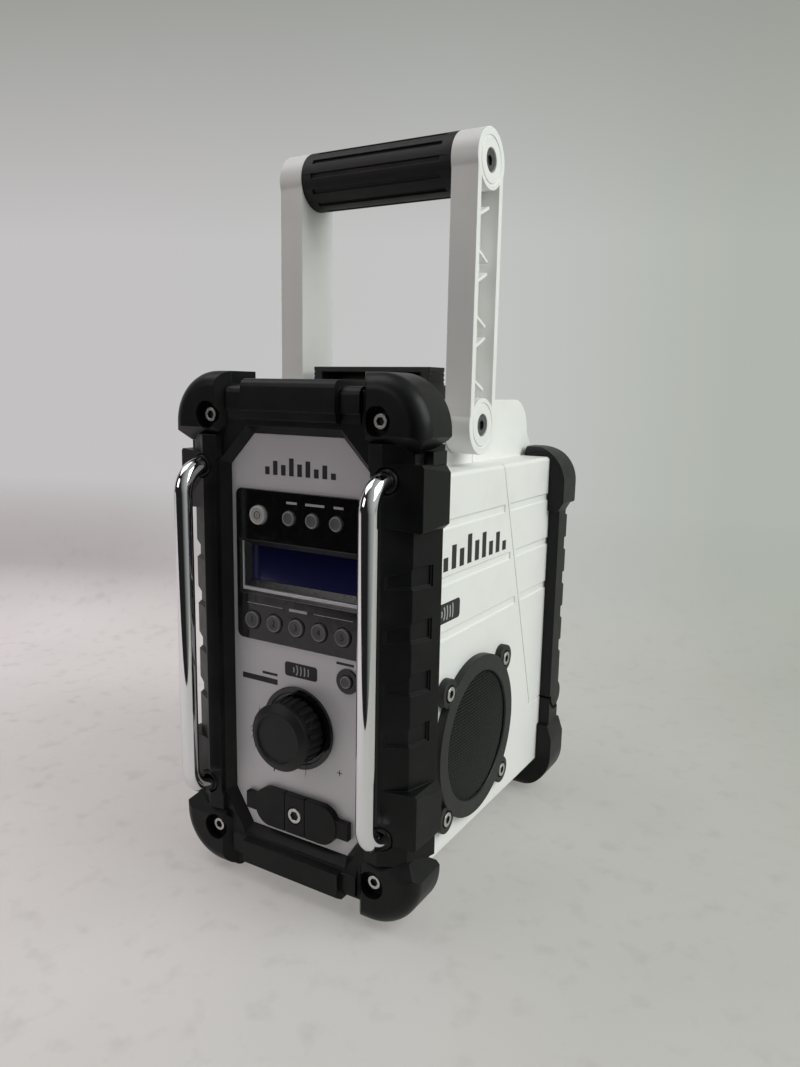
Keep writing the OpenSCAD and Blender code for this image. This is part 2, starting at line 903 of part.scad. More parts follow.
module encoder_body() {
    encoder_w = 14;
    color("#5f6368")
    difference() {
        deep(panel_back_d, panel_back_d + encoder_l)
            span(-encoder_w / 2, knob_z - encoder_w / 2, encoder_w / 2, knob_z + encoder_w / 2);
        rod_y(0, knob_z, 0, panel_back_d + encoder_l - 1, encoder_shaft_d / 2 + run_fit);
    }
}

module encoder_shaft() {
    color("silver")
    rod_y(0, knob_z, knob_front_d + 4, panel_back_d + encoder_l - 2 - knob_push,
        encoder_shaft_d / 2);
}

module control_knob() {
    flute_r = 0.9;
    slope = 2.5;
    rim_r = knob_d / 2;
    body_r = rim_r - 1.6;
    flare = 1.6;
    face_r = rim_r - 4.2;
    dish_r = rim_r - 5.6;
    rim_back_d = knob_front_d + 5;
    color("#141416")
    difference() {
        union() {
            translate([0, at(knob_back_d), knob_z])
                rotate([90, 0, 0])
                    cylinder(h = knob_back_d - rim_back_d + touch, r1 = body_r + flare,
                        r2 = body_r);
            rod_y(0, knob_z, knob_front_d + slope, rim_back_d, rim_r);
            translate([0, at(knob_front_d + slope), knob_z])
                rotate([90, 0, 0])
                    cylinder(h = slope, r1 = rim_r, r2 = face_r);
        }
        // flutes
        for (k = [0 : knob_flutes - 1])
            translate([0, at(rim_back_d), knob_z])
                rotate([0, k * 360 / knob_flutes, 0])
                    translate([body_r, 0, 0])
                        rotate([-90, 0, 0])
                            rotate([0, atan(flare / (knob_back_d - rim_back_d)), 0])
                                cylinder(h = knob_l, r = flute_r);
        rod_y(0, knob_z, knob_front_d - cut, knob_front_d + 1, dish_r);
        rod_y(0, knob_z, knob_front_d + 3.5, knob_back_d + cut, encoder_shaft_d / 2 + run_fit);
    }
}

module socket_cover_middle() {
    half_w = 7;
    color("#1a1b1d")
    difference() {
        deep(panel_recess - cover_t, panel_recess)
            span(-half_w, cover_z - cover_h / 2, half_w, cover_z + cover_h / 2);
        rod_y(0, cover_z, 0, panel_recess - 2.5, 5);
        rod_y(0, cover_z, 0, panel_recess + cut, 1.6);
    }
}

// One lid of the socket cover, at the right
module socket_lid() {
    hinge_x = 7 + slide_gap;
    tab_w = 7.5;
    tab_h = 10.5;
    tab_step = 0.8;
    corner = cover_h / 2 - 1;
    difference() {
        union() {
            deep(panel_recess - cover_t, panel_recess - touch)
                intersection() {
                    round_span(-cover_w / 2, cover_z - cover_h / 2, cover_w / 2,
                        cover_z + cover_h / 2, corner);
                    span(hinge_x, cover_z - cover_h, cover_w, cover_z + cover_h);
                }
            deep(panel_recess - cover_t + tab_step, panel_recess - touch)
                span(cover_w / 2 - 2, cover_z - tab_h / 2, cover_w / 2 + tab_w,
                    cover_z + tab_h / 2);
        }
        // room for the nose of the socket
        rod_y(socket_x, cover_z, panel_recess - 1, panel_recess + cut, 5);
    }
}

module socket_lid_right() {
    color("#1a1b1d") socket_lid();
}

module socket_lid_left() {
    color("#1a1b1d") mirror([1, 0, 0]) socket_lid();
}

module socket_cover_screw() {
    color("silver") pan_screw(0, cover_z, panel_recess - 2.5 - 2.2, 1.5, 4.5, 2.2, 12);
}

// Screw with a round head and a hex socket, its head front at depth d
module pan_screw(x, z, d, shank_r, head_r, head_t, shank_l) {
    socket_r = head_r * 0.62;
    difference() {
        union() {
            rod_y(x, z, d, d + head_t, head_r);
            rod_y(x, z, d + head_t - touch, d + head_t + shank_l, shank_r);
        }
        translate([x, at(d + head_t * 0.6), z])
            rotate([90, 0, 0])
                cylinder(h = head_t, r = socket_r, $fn = 6);
    }
}

module case_screws() {
    color("silver") {
        four_corners()
            pan_screw(screw_x, screw_top_z, screw_well_d - screw_head_t, screw_r, screw_head_r,
                screw_head_t, screw_l);
        both_sides()
            from_behind()
                pan_screw(bumper_screw_x, bumper_low_screw_z, 2, screw_r, 4.5, 2.5, 6);
    }
}

// Piece made as seen from the front, turned to face the rear
module from_behind() {
    translate([0, at(0) + at(case_depth), 0])
        mirror([0, 1, 0])
            children();
}

module bar_collars() {
    collar_r = bar_d / 2 + 1.4;
    collar_t = 4.5;
    color("#1a1b1d")
    both_sides()
        for (z = [bar_top_z, bar_low_z])
            difference() {
                union() {
                    rod_y(bar_x, z, face_d - collar_t + 1, face_d, collar_r);
                    translate([bar_x, at(face_d - collar_t + 1), z])
                        rotate([90, 0, 0])
                            cylinder(h = 1, r1 = collar_r, r2 = collar_r - 1);
                }
                rod_y(bar_x, z, -cut, face_d + cut, bar_d / 2 + touch);
            }
}

// One chrome bar, bent at both ends, at the right
module guard_bar() {
    bar_y = front - bar_reach + bar_d / 2;
    middle = (bar_top_z + bar_low_z) / 2;
    straight = bar_top_z - bar_low_z - 2 * bar_bend_r;
    leg_start = bar_y + bar_bend_r;
    translate([bar_x, bar_y, middle - straight / 2])
        cylinder(h = straight, r = bar_d / 2);
    for (up = [0, 1])
        translate([bar_x, leg_start, middle])
            mirror([0, 0, up])
                translate([0, 0, straight / 2]) {
                    rotate([90, 0, -90])
                        rotate_extrude(angle = 90)
                            translate([bar_bend_r, 0])
                                circle(bar_d / 2);
                    translate([0, 0, bar_bend_r])
                        rotate([-90, 0, 0])
                            cylinder(h = at(panel_back_d - 1) - leg_start, r = bar_d / 2);
                }
}

module guard_bar_right() {
    color("#d5d6d9") guard_bar();
}

module guard_bar_left() {
    color("#d5d6d9") mirror([1, 0, 0]) guard_bar();
}

// Speaker grille with four screw lobes, at the right
module speaker_grille() {
    rim_r = mesh_d / 2 - 0.5;
    lobe_face_x = grille_x - 0.6;
    neck_w = 2 * lobe_r - 3;
    difference() {
        union() {
            rod_x(case_x, grille_x, speaker_y, speaker_z, grille_d / 2);
            for (d = [-screw_step, screw_step], u = [-screw_step, screw_step]) {
                rod_x(case_x, lobe_face_x, speaker_y + d, speaker_z + u, lobe_r);
                wide(case_x, lobe_face_x)
                    translate([at(speaker_y), speaker_z])
                        rotate(atan2(u, d))
                            translate([rim_r + 3, -neck_w / 2])
                                square([screw_step * sqrt(2) - rim_r - 3, neck_w]);
            }
        }
        rod_x(case_x - cut, grille_x + cut, speaker_y, speaker_z, mesh_d / 2 - 1);
        rod_x(case_x - cut, mesh_x + mesh_t + touch, speaker_y, speaker_z, mesh_d / 2 + 0.5);
        translate([grille_x - 1, at(speaker_y), speaker_z])
            rotate([0, 90, 0])
                cylinder(h = 1 + touch, r1 = mesh_d / 2 - 1, r2 = rim_r);
        for (d = [-screw_step, screw_step], u = [-screw_step, screw_step]) {
            rod_x(grille_x - 2.6, grille_x + cut, speaker_y + d, speaker_z + u, 5);
            rod_x(case_x - cut, grille_x, speaker_y + d, speaker_z + u, screw_r + touch);
        }
    }
}

module speaker_grille_right() {
    color("#1c1d1f") speaker_grille();
}

module speaker_grille_left() {
    color("#1c1d1f") mirror([1, 0, 0]) speaker_grille();
}

// Domed metal mesh, at the right
module speaker_mesh() {
    dome_h = 2.5;
    dome_r = (mesh_d * mesh_d / 4 + dome_h * dome_h) / (2 * dome_h);
    translate([mesh_x + dome_h - dome_r, at(speaker_y), speaker_z])
        rotate([0, 90, 0])
            rotate_extrude()
                difference() {
                    intersection() {
                        circle(dome_r, $fn = 360);
                        translate([0, dome_r - dome_h])
                            square([mesh_d / 2 - 1.3, dome_h * 2]);
                    }
                    circle(dome_r - mesh_t, $fn = 360);
                }
    difference() {
        rod_x(mesh_x, mesh_x + mesh_t, speaker_y, speaker_z, mesh_d / 2 + touch);
        rod_x(mesh_x - cut, mesh_x + cut, speaker_y, speaker_z, mesh_d / 2 - 1.6);
    }
}

module speaker_mesh_right() {
    color("#303236") speaker_mesh();
}

module speaker_mesh_left() {
    color("#303236") mirror([1, 0, 0]) speaker_mesh();
}

// Screw along X, pointing inwards from the right side
module side_screw(d, z, head_x, shank_r, head_r, head_t, shank_l) {
    difference() {
        union() {
            rod_x(head_x - head_t, head_x, d, z, head_r);
            rod_x(head_x - head_t - shank_l, head_x - head_t + touch, d, z, shank_r);
        }
        translate([head_x - head_t * 0.6, at(d), z])
            rotate([0, 90, 0])
                cylinder(h = head_t, r = head_r * 0.5, $fn = 6);
    }
}

module grille_screws() {
    color("silver")
    both_sides()
        for (d = [-screw_step, screw_step], u = [-screw_step, screw_step])
            side_screw(speaker_y + d, speaker_z + u, grille_x, screw_r, 4.2, 2.6,
                grille_t - 2.6 + case_wall - 0.4);
}

// Loudspeaker behind the case wall, at the right
module speaker_driver() {
    flange_r = mesh_d / 2 + 5;
    mouth_r = mesh_d / 2 - 4;
    magnet_r = 24;
    basket_l = 18;
    magnet_l = 12;
    skin = 1.6;
    back_x = case_x - case_wall;
    translate([back_x, at(speaker_y), speaker_z])
        rotate([0, -90, 0])
            rotate_extrude()
                polygon([
                    [mouth_r, 0], [flange_r, 0], [flange_r, skin], [mouth_r + skin, skin],
                    [magnet_r, basket_l], [magnet_r, basket_l + magnet_l],
                    [0, basket_l + magnet_l], [0, basket_l - 6], [magnet_r / 2, basket_l - 3]
                ]);
}

module speaker_driver_right() {
    color("#2b2b2e") speaker_driver();
}

module speaker_driver_left() {
    color("#2b2b2e") mirror([1, 0, 0]) speaker_driver();
}

// Frame that lies on the sloping wall of the battery bay: its own Z runs up the slope
module on_bay_wall() {
    translate([0, at(door_joint_y), case_top])
        rotate([joint_angle, 0, 0])
            children();
}

// Box from x0 to x1, out of the bay wall from y0 to y1, from z0 to z1 up the slope
module bay_box(x0, x1, y0, y1, z0, z1) {
    translate([x0, y0, z0])
        cube([x1 - x0, y1 - y0, z1 - z0]);
}

module battery_tray() {
    color("#26282b")
    on_bay_wall()
        difference() {
            bay_box(-tray_x, tray_x, 0, rail_h, tray_low, tray_top);
            bay_box(-tray_x + 3, tray_x - 3, tray_t, rail_h + cut, tray_low - cut, tray_top - 3);
            // slots of the guide rails
            both_sides()
                bay_box(tray_x - 3 - touch, tray_x - 1.2, rail_h - 6, rail_h - 3, tray_low - cut,
                    tray_top - 3);
        }
}

module battery_terminal() {
    block_x = 24;
    block_top = -56;
    block_low = -106;
    blade_x = 12;
    block_t = 9;
    color("#3b3e42")
    on_bay_wall()
        difference() {
            bay_box(-block_x, block_x, tray_t, tray_t + block_t, block_low, block_top);
            for (x = [-blade_x, 0, blade_x])
                bay_box(x - 2.4, x + 2.4, tray_t + 3, tray_t + block_t + cut, block_low - cut,
                    block_top - 10);
        }
    color("#b08d57")
    on_bay_wall()
        for (x = [-blade_x, 0, blade_x])
            bay_box(x - 0.6, x + 0.6, tray_t + 3, tray_t + block_t - 1.5, block_low + 4,
                block_top - 10);
}

module backup_cell_holder() {
    cell_r = 7;
    cell_l = 50;
    holder_x = tray_x + 3;
    holder_w = 2 * cell_r + 5;
    low = -96;
    high = low + cell_l + 6;
    color("#26282b")
    on_bay_wall()
        difference() {
            bay_box(holder_x, holder_x + holder_w, 0, cell_r + 3, low, high);
            bay_box(holder_x + 2, holder_x + holder_w - 2, 2, cell_r + 4, low + 2.5, high - 2.5);
        }
    color("#5a6b3c")
    on_bay_wall()
        translate([holder_x + holder_w / 2, 2 + cell_r, low + 3])
            cylinder(h = cell_l, r = cell_r);
}

module main_board() {
    board_t = 1.6;
    post_h = 5;
    front_d = speaker_y - 20;
    back_d = joint_low_d + 12;
    half_w = 48;
    floor_z = case_low + case_wall;
    color("#1e5a35") {
        translate([-half_w, at(front_d), floor_z + post_h])
            cube([2 * half_w, back_d - front_d, board_t]);
        for (x = [-half_w + 5, half_w - 5], d = [front_d + 5, back_d - 5])
            translate([x, at(d), floor_z])
                cylinder(h = post_h + touch, r = 3);
    }
    // coils and capacitors
    color("#2a2c30")
    for (k = [0 : 3])
        translate([-30 + 20 * k, at(joint_low_d - 40), floor_z + post_h + board_t])
            cylinder(h = 14, r = 6);
    // heat sink
    color("silver")
    translate([-25, at(joint_low_d - 15), floor_z + post_h + board_t])
        cube([50, 10, 18]);
}

// Round socket behind the panel with its nose in the panel's hole
module round_socket(x, bore_r) {
    nose_r = 4.5;
    body_r = 6.5;
    depth = 14;
    difference() {
        union() {
            rod_y(x, cover_z, panel_recess, panel_back_d, nose_r);
            rod_y(x, cover_z, panel_back_d, panel_back_d + depth, body_r);
        }
        rod_y(x, cover_z, panel_recess - cut, panel_back_d + depth - 2, bore_r);
    }
}

module aux_socket() {
    color("#202124") round_socket(socket_x, aux_bore / 2);
}

module supply_socket() {
    color("#202124") {
        round_socket(-socket_x, supply_bore / 2);
        rod_y(-socket_x, cover_z, panel_recess + 3, panel_back_d + 13, 1);
    }
}

module aerial_socket() {
    base_r = 6;
    bore_r = 2.5;
    bore_l = 7;
    aerial_x = -50;
    aerial_d = frame_d + 12;
    stand = 8;
    color("#202124")
    translate([aerial_x, at(aerial_d), case_top])
        difference() {
            cylinder(h = stand, r = base_r);
            translate([0, 0, stand - bore_l])
                cylinder(h = bore_l + cut, r = bore_r);
        }
}

// Rail of the rear bumpers, at the right, with a chamfer along its rear edge
module bumper_rail(z0, z1) {
    chamfer_w = 2.7;
    chamfer_d = 4.5;
    translate([0, 0, z0])
        linear_extrude(z1 - z0)
            polygon([
                [bumper_in_x, at(bumper_front_d + 3)], [side_x, at(bumper_front_d + 3)],
                [side_x, at(case_depth - chamfer_d)], [side_x - chamfer_w, at(case_depth)],
                [bumper_in_x, at(case_depth)]
            ]);
}

module lower_bumper() {
    corner_r = 28;
    corner_top = case_low + 18;
    corner_slope = 10;
    bar_top = case_low + 8;
    color("#1c1d1f")
    difference() {
        union() {
            // corner blocks
            intersection() {
                both_sides() {
                    deep(bumper_front_d, case_depth) {
                        span(bumper_in_x, frame_low, frame_x - corner_r, corner_top);
                        span(bumper_in_x, frame_low + corner_r, frame_x, corner_top);
                        intersection() {
                            translate([frame_x - corner_r, frame_low + corner_r])
                                circle(corner_r);
                            span(frame_x - corner_r, 0, frame_x, frame_low + corner_r);
                        }
                        polygon([
                            [bumper_in_x, corner_top], [frame_x, corner_top],
                            [side_x, corner_top + corner_slope],
                            [bumper_in_x, corner_top + corner_slope]
                        ]);
                    }
                }
                wide(-frame_x, frame_x)
                    round_span(at(bumper_front_d), frame_low, at(case_depth),
                        corner_top + 40, 7);
            }
            // sides up to the hinge
            both_sides()
                bumper_rail(case_low, hinge_z - door_gap);
            // cross bar
            deep(bumper_front_d + 4, case_depth - 1.5)
                span(-bumper_in_x - cut, frame_low + bumper_bar_up, bumper_in_x + cut, bar_top);
        }
        deep(0, case_back_d + touch) case_outline(-touch);
        rod_x(-frame_x - cut, frame_x + cut, barrel_d, hinge_z, trough_r);
        both_sides()
            from_behind() {
                rod_y(bumper_screw_x, bumper_low_screw_z, -cut, 4.5, 5.2);
                rod_y(bumper_screw_x, bumper_low_screw_z, 0, bumper_d + cut, screw_r + touch);
            }
    }
}

module rubber_feet() {
    foot_w = 12;
    foot_l = 12;
    corner = 3;
    front_in_x = frame_x - block_w + 1;
    rear_in_x = bumper_in_x - foot_w - 4;
    color("#141414")
    both_sides() {
        translate([front_in_x, at(block_edge_r + 1), 0])
            linear_extrude(foot_h)
                round_span(0, 0, foot_w, foot_l, corner);
        // rear feet, under the cross bar
        translate([rear_in_x, at(bumper_front_d + 8), 0])
            linear_extrude(foot_h + bumper_bar_up)
                round_span(0, 0, foot_w, foot_l, corner);
    }
}

module door_hinge_pin() {
    color("silver")
    rod_x(-hinge_lug_x - hinge_lug_w, hinge_lug_x + hinge_lug_w, barrel_d, hinge_z,
        hinge_pin_d / 2);
}

// Side view of the rear part of the hump
module hump_side(g) {
    roof_r = 22;
    roof_back_d = case_back_d - 8;
    tail_up = 6;
    span(at(door_joint_y), case_top - case_wall, at(roof_back_d - roof_r), hump_top - g);
    span(at(door_joint_y), case_top - case_wall, at(roof_back_d - g), hump_top - roof_r);
    translate([at(roof_back_d - roof_r), hump_top - roof_r])
        circle(roof_r - g);
    polygon([
        [at(roof_back_d - roof_r), case_top - case_wall],
        [at(case_back_d - g), case_top - case_wall],
        [at(case_back_d - g), case_top + tail_up], [at(roof_back_d - g), hump_top - roof_r]
    ]);
}

module battery_door() {
    lug_gap = 0.5;
    lug_in_x = hinge_lug_x - 15;
    ear_in_x = 32;
    ear_w = 6;
    ear_r = 4;
    color("whitesmoke")
    difference() {
        union() {
            difference() {
                union() {
                    intersection() {
                        deep(panel_back_d, case_back_d) case_outline(0);
                        wide(-case_x, case_x) door_side(door_gap);
                    }
                    intersection() {
                        wide(-hump_x, hump_x) hump_side(0);
                        wide(-hump_x, hump_x) door_side(door_gap);
                    }
                }
                deep(panel_back_d, case_back_d - case_wall) case_outline(case_wall);
                intersection() {
                    wide(-hump_x + case_wall, hump_x - case_wall) hump_side(case_wall);
                    deep(door_joint_y + door_gap + case_wall, case_back_d - case_wall)
                        span(-hump_x, case_top - 2 * case_wall, hump_x, hump_top);
                }
            }
            // hinge lugs on the rear wall
            both_sides()
                wide(lug_in_x, hinge_lug_x - lug_gap) {
                    translate([at(barrel_d), hinge_z])
                        circle(hinge_lug_r);
                    span(at(barrel_d) - 2, hinge_z, at(case_back_d - case_wall + touch),
                        hinge_z + 12);
                }
            // ears for the latch pin
            both_sides()
                wide(ear_in_x, ear_in_x + ear_w) {
                    translate([at(latch_pin_d_back), latch_pin_z])
                        circle(ear_r);
                    span(at(latch_pin_d_back - ear_r), hump_top - touch,
                        at(latch_pin_d_back + ear_r), latch_pin_z);
                }
        }
        side_grooves(false);
        both_sides()
            rod_x(ear_in_x - cut, ear_in_x + ear_w + cut, latch_pin_d_back, latch_pin_z,
                latch_pin_d / 2 + run_fit);
        door_screw_holes();
        // room for the housing lugs and for the pin
        both_sides()
            rod_x(hinge_lug_x - lug_gap, hinge_lug_x + hinge_lug_w + lug_gap, barrel_d, hinge_z,
                hinge_lug_r + lug_gap);
        rod_x(-hinge_lug_x, hinge_lug_x, barrel_d, hinge_z, hinge_pin_d / 2 + run_fit);
    }
}

// Holes for the screws of the door bumper
module door_screw_holes() {
    both_sides()
        from_behind()
            rod_y(bumper_screw_x, bumper_top_screw_z, 0, case_depth - case_back_d + case_wall + cut,
                screw_r + touch);
}

module door_bumper() {
    corner_r = 24;
    corner_low = case_top - 31;
    corner_slope = 6;
    notches = 5;
    first_notch = 41;
    pitch = 25;
    notch = 7.5;
    color("#1c1d1f")
    difference() {
        union() {
            // corner blocks
            intersection() {
                both_sides()
                    deep(bumper_front_d, case_depth) {
                        span(bumper_in_x, corner_low, frame_x - corner_r, bumper_top);
                        span(bumper_in_x, corner_low, frame_x, bumper_top - corner_r);
                        intersection() {
                            translate([frame_x - corner_r, bumper_top - corner_r])
                                circle(corner_r);
                            span(frame_x - corner_r, bumper_top - corner_r, frame_x, bumper_top);
                        }
                        polygon([
                            [bumper_in_x, corner_low + touch], [frame_x, corner_low + touch],
                            [side_x, corner_low - corner_slope],
                            [bumper_in_x, corner_low - corner_slope]
                        ]);
                    }
                wide(-frame_x, frame_x)
                    round_span(at(bumper_front_d), corner_low - 40, at(case_depth),
                        bumper_top, 6);
            }
            // sides down to the barrel
            both_sides()
                bumper_rail(hinge_z + door_gap, corner_low);
            both_sides()
                rod_x(bumper_in_x, side_x, barrel_d, hinge_z, barrel_r);
        }
        deep(0, case_back_d + touch) case_outline(-touch);
        // notches along the rear edge of the sides
        both_sides()
            for (k = [0 : notches - 1])
                translate([side_x - 7, at(case_depth - notch), case_top - first_notch - k * pitch])
                    cube([10, notch + cut, 9]);
        both_sides()
            from_behind() {
                rod_y(bumper_screw_x, bumper_top_screw_z, -cut, 4.5, 5.2);
                rod_y(bumper_screw_x, bumper_top_screw_z, 0, bumper_d + cut, screw_r + touch);
            }
    }
}

module door_screws() {
    color("silver")
    both_sides()
        from_behind()
            pan_screw(bumper_screw_x, bumper_top_screw_z, 2, screw_r, 4.5, 2.5, 5);
}

// Rubber seal round the mouth of the door
module door_seal() {
    seal_w = 3;
    seal_t = 2;
    slope_l = (case_top - hinge_z) / cos(joint_angle);
    outer_x = case_x - case_wall;
    top = -10;
    low = -slope_l + 16;
    color("#202020")
    on_bay_wall()
        translate([0, door_gap + 1 + seal_t, 0])
            rotate([90, 0, 0])
                linear_extrude(seal_t)
                    difference() {
                        span(-outer_x, low, outer_x, top);
                        span(-outer_x + seal_w, low + seal_w, outer_x - seal_w, top - seal_w);
                    }
}

module latch_pin() {
    color("silver")
    rod_x(-37.5, 37.5, latch_pin_d_back, latch_pin_z, latch_pin_d / 2);
}

module latch_lever() {
    clear = 0.4;
    plate_t = 3.5;
    knuckle_x = 31.5;
    knuckle_r = 4;
    top = hump_top + latch_h;
    rib_pitch = 2.6;
    ribs = 3;
    color("#1d1e20")
    difference() {
        union() {
            // plate
            wide(-latch_w / 2, latch_w / 2)
                span(at(latch_front_d), hump_top + clear, at(latch_pin_d_back - knuckle_r - 1),
                    hump_top + clear + plate_t);
            wide(-knuckle_x, knuckle_x)
                span(at(latch_pin_d_back - knuckle_r - 2), hump_top + clear,
                    at(latch_pin_d_back), hump_top + clear + plate_t);
            rod_x(-knuckle_x, knuckle_x, latch_pin_d_back, latch_pin_z, knuckle_r);
            // finger block
            wide(-latch_w / 2, latch_w / 2)
                span(at(latch_front_d), hump_top + clear, at(latch_front_d + latch_d), top);
        }
        // finger recess in the front
        wide(-latch_w / 2 + 6, latch_w / 2 - 6)
            span(at(latch_front_d) - cut, hump_top + 5, at(latch_front_d + latch_d - 5), top - 3);
        // ribs on the sides
        both_sides()
            for (k = [0 : ribs - 1])
                translate([latch_w / 2 - 0.4, at(latch_front_d) - cut, top - 3.6 - k * rib_pitch])
                    cube([2, latch_d + 2 * cut, 1.1]);
        rod_x(-knuckle_x - cut, knuckle_x + cut, latch_pin_d_back, latch_pin_z,
            latch_pin_d / 2 + run_fit);
    }
}

// One arm of the handle, at the right
module handle_arm() {
    waist = arm_r - 1;
    disc_r = arm_r - arm_rim + 1;
    pocket_r = waist - arm_rim;
    bolt_r = 6.5;
    bolt_d = 4;
    boss_r = 4.5;
    rib_t = 1.8;
    rib_l = 14;
    pocket_l = handle_l - 2 * disc_r - 4;
    first_rib = pocket_l * 0.09;
    rib_pitch = pocket_l * 0.78 / (arm_ribs - 1);
    rib_tilt = 24;
    difference() {
        union() {
            for (z = [pivot_z, grip_z])
                rod_x(arm_in_x, arm_out_x, pivot_y, z, arm_r);
            wide(arm_in_x, arm_out_x)
                span(at(pivot_y - waist), pivot_z, at(pivot_y + waist), grip_z);
        }
        // pocket with its ribs
        difference() {
            wide(arm_out_x - pocket_d, arm_out_x + cut)
                span(at(pivot_y - pocket_r), pivot_z, at(pivot_y + pocket_r), grip_z);
            for (z = [pivot_z, grip_z])
                rod_x(arm_in_x, arm_out_x, pivot_y, z, disc_r + 2);
            for (k = [0 : arm_ribs - 1])
                wide(arm_in_x, arm_out_x - 1)
                    translate([at(pivot_y - pocket_r),
                        pivot_z + disc_r + 2 + first_rib + k * rib_pitch])
                        rotate(k % 2 == 0 ? -rib_tilt : rib_tilt)
                            translate([-2, -rib_t / 2])
                                square([rib_l + 2, rib_t]);
        }
        // ring lines round the bolts
        for (z = [pivot_z, grip_z])
            difference() {
                rod_x(arm_out_x - 0.6, arm_out_x + cut, pivot_y, z, disc_r - 0.6);
                rod_x(arm_out_x - cut, arm_out_x + 2 * cut, pivot_y, z, disc_r - 1.4);
            }
        for (z = [pivot_z, grip_z])
            rod_x(arm_out_x - bolt_d, arm_out_x + cut, pivot_y, z, bolt_r);
        rod_x(arm_in_x - cut, arm_out_x, pivot_y, pivot_z, boss_r + run_fit);
        rod_x(arm_in_x - cut, arm_out_x, pivot_y, grip_z, screw_r + touch);
    }
}

module handle_arm_right() {
    color("whitesmoke") handle_arm();
}

module handle_arm_left() {
    color("whitesmoke") mirror([1, 0, 0]) handle_arm();
}

module handle_grip() {
    slot_w = 2.6;
    slot_t = 1.4;
    slot_margin = 7;
    color("#17181a")
    difference() {
        rod_x(-arm_in_x, arm_in_x, pivot_y, grip_z, grip_d / 2);
        rod_x(-arm_in_x - cut, arm_in_x + cut, pivot_y, grip_z, tube_r + touch);
        for (k = [0 : grip_slots - 1])
            translate([0, at(pivot_y), grip_z])
                rotate([k * 360 / grip_slots, 0, 0])
                    translate([-arm_in_x + slot_margin, -slot_w / 2, grip_d / 2 - slot_t])
                        cube([2 * (arm_in_x - slot_margin), slot_w, slot_t + cut]);
    }
}

module grip_tube() {
    color("silver")
    difference() {
        rod_x(-arm_in_x, arm_in_x, pivot_y, grip_z, tube_r);
        rod_x(-arm_in_x - cut, arm_in_x + cut, pivot_y, grip_z, screw_r + touch);
    }
}

module handle_top_screws() {
    color("#3a3c40")
    both_sides()
        side_screw(pivot_y, grip_z, arm_out_x - 1, screw_r, 6, 3, arm_t + 6);
}

module handle_pivot_screws() {
    color("#3a3c40")
    both_sides()
        side_screw(pivot_y, pivot_z, arm_out_x - 0.6, screw_r, 6, 3, arm_t - 4);
}

main_housing();
front_frame();
front_panel();
display_bezel();
display_window();
display_module();
knob_skirt();
bar_collars();
guard_bar_left();
guard_bar_right();
case_screws();
speaker_grille_left();
speaker_grille_right();
speaker_mesh_left();
speaker_mesh_right();
grille_screws();
speaker_driver_left();
speaker_driver_right();
main_board();
button_board();
encoder_body();
battery_tray();
battery_terminal();
backup_cell_holder();
aux_socket();
supply_socket();
socket_cover_middle();
socket_cover_screw();
lower_bumper();
rubber_feet();
door_hinge_pin();
aerial_socket();
tune_ring();
battery_door();
door_bumper();
door_screws();
door_seal();
latch_pin();
latch_lever();
handle_arm_left();
handle_arm_right();
handle_grip();
grip_tube();
handle_top_screws();
handle_pivot_screws();
encoder_shaft();
control_knob();
socket_lid_left();
socket_lid_right();
power_button();
function_button(-1);  // function_button_1
function_button(0);  // function_button_2
function_button(1);  // function_button_3
preset_button(-2);  // preset_button_1
preset_button(-1);  // preset_button_2
preset_button(0);  // preset_button_3
preset_button(1);  // preset_button_4
preset_button(2);  // preset_button_5
tune_button();
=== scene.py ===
import json
import math

import bmesh
import bpy
from mathutils import Matrix, Vector


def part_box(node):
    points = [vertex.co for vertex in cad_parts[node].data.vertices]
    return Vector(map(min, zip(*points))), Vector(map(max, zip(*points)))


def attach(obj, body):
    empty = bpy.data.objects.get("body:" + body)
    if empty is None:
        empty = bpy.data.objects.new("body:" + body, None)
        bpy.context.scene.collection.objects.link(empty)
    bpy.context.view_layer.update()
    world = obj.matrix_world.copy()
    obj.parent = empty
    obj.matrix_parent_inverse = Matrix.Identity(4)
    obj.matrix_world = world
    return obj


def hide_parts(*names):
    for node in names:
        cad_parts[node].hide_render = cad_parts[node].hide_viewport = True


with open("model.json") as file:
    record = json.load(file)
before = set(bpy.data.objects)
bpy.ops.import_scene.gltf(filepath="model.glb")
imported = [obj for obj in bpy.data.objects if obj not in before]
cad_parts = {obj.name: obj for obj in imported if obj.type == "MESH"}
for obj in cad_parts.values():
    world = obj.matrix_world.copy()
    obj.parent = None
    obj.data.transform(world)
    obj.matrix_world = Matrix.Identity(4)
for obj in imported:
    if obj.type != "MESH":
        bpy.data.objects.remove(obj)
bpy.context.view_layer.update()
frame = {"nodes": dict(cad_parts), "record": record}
mm = 0.001

# ---------------------------------------------------------------- camera
# A phone camera held a little above the radio, in front of its right-hand corner.
# The angles and the place come from the edges of the frame, the case and the handle.
azimuth, pitch, roll = (math.radians(a) for a in (30.870, 9.968, 1.047))
focal_px, picture_px = 824.81, 1067

forward = Vector((-math.sin(azimuth) * math.cos(pitch),
                  math.cos(azimuth) * math.cos(pitch), -math.sin(pitch)))
level_right = Vector((math.cos(azimuth), math.sin(azimuth), 0))
level_up = level_right.cross(forward)
right = level_right * math.cos(roll) + level_up * math.sin(roll)
up = level_up * math.cos(roll) - level_right * math.sin(roll)

lens = bpy.data.cameras.new("camera")
lens.sensor_width = 36
lens.lens = focal_px / picture_px * lens.sensor_width
camera = bpy.data.objects.new("camera", lens)
bpy.context.scene.collection.objects.link(camera)
turn = Matrix((right, up, -forward)).transposed().to_4x4()
camera.matrix_world = Matrix.Translation((0.27354, -0.43944, 0.29004)) @ turn
bpy.context.scene.camera = camera
bpy.context.scene.view_settings.view_transform = "Standard"


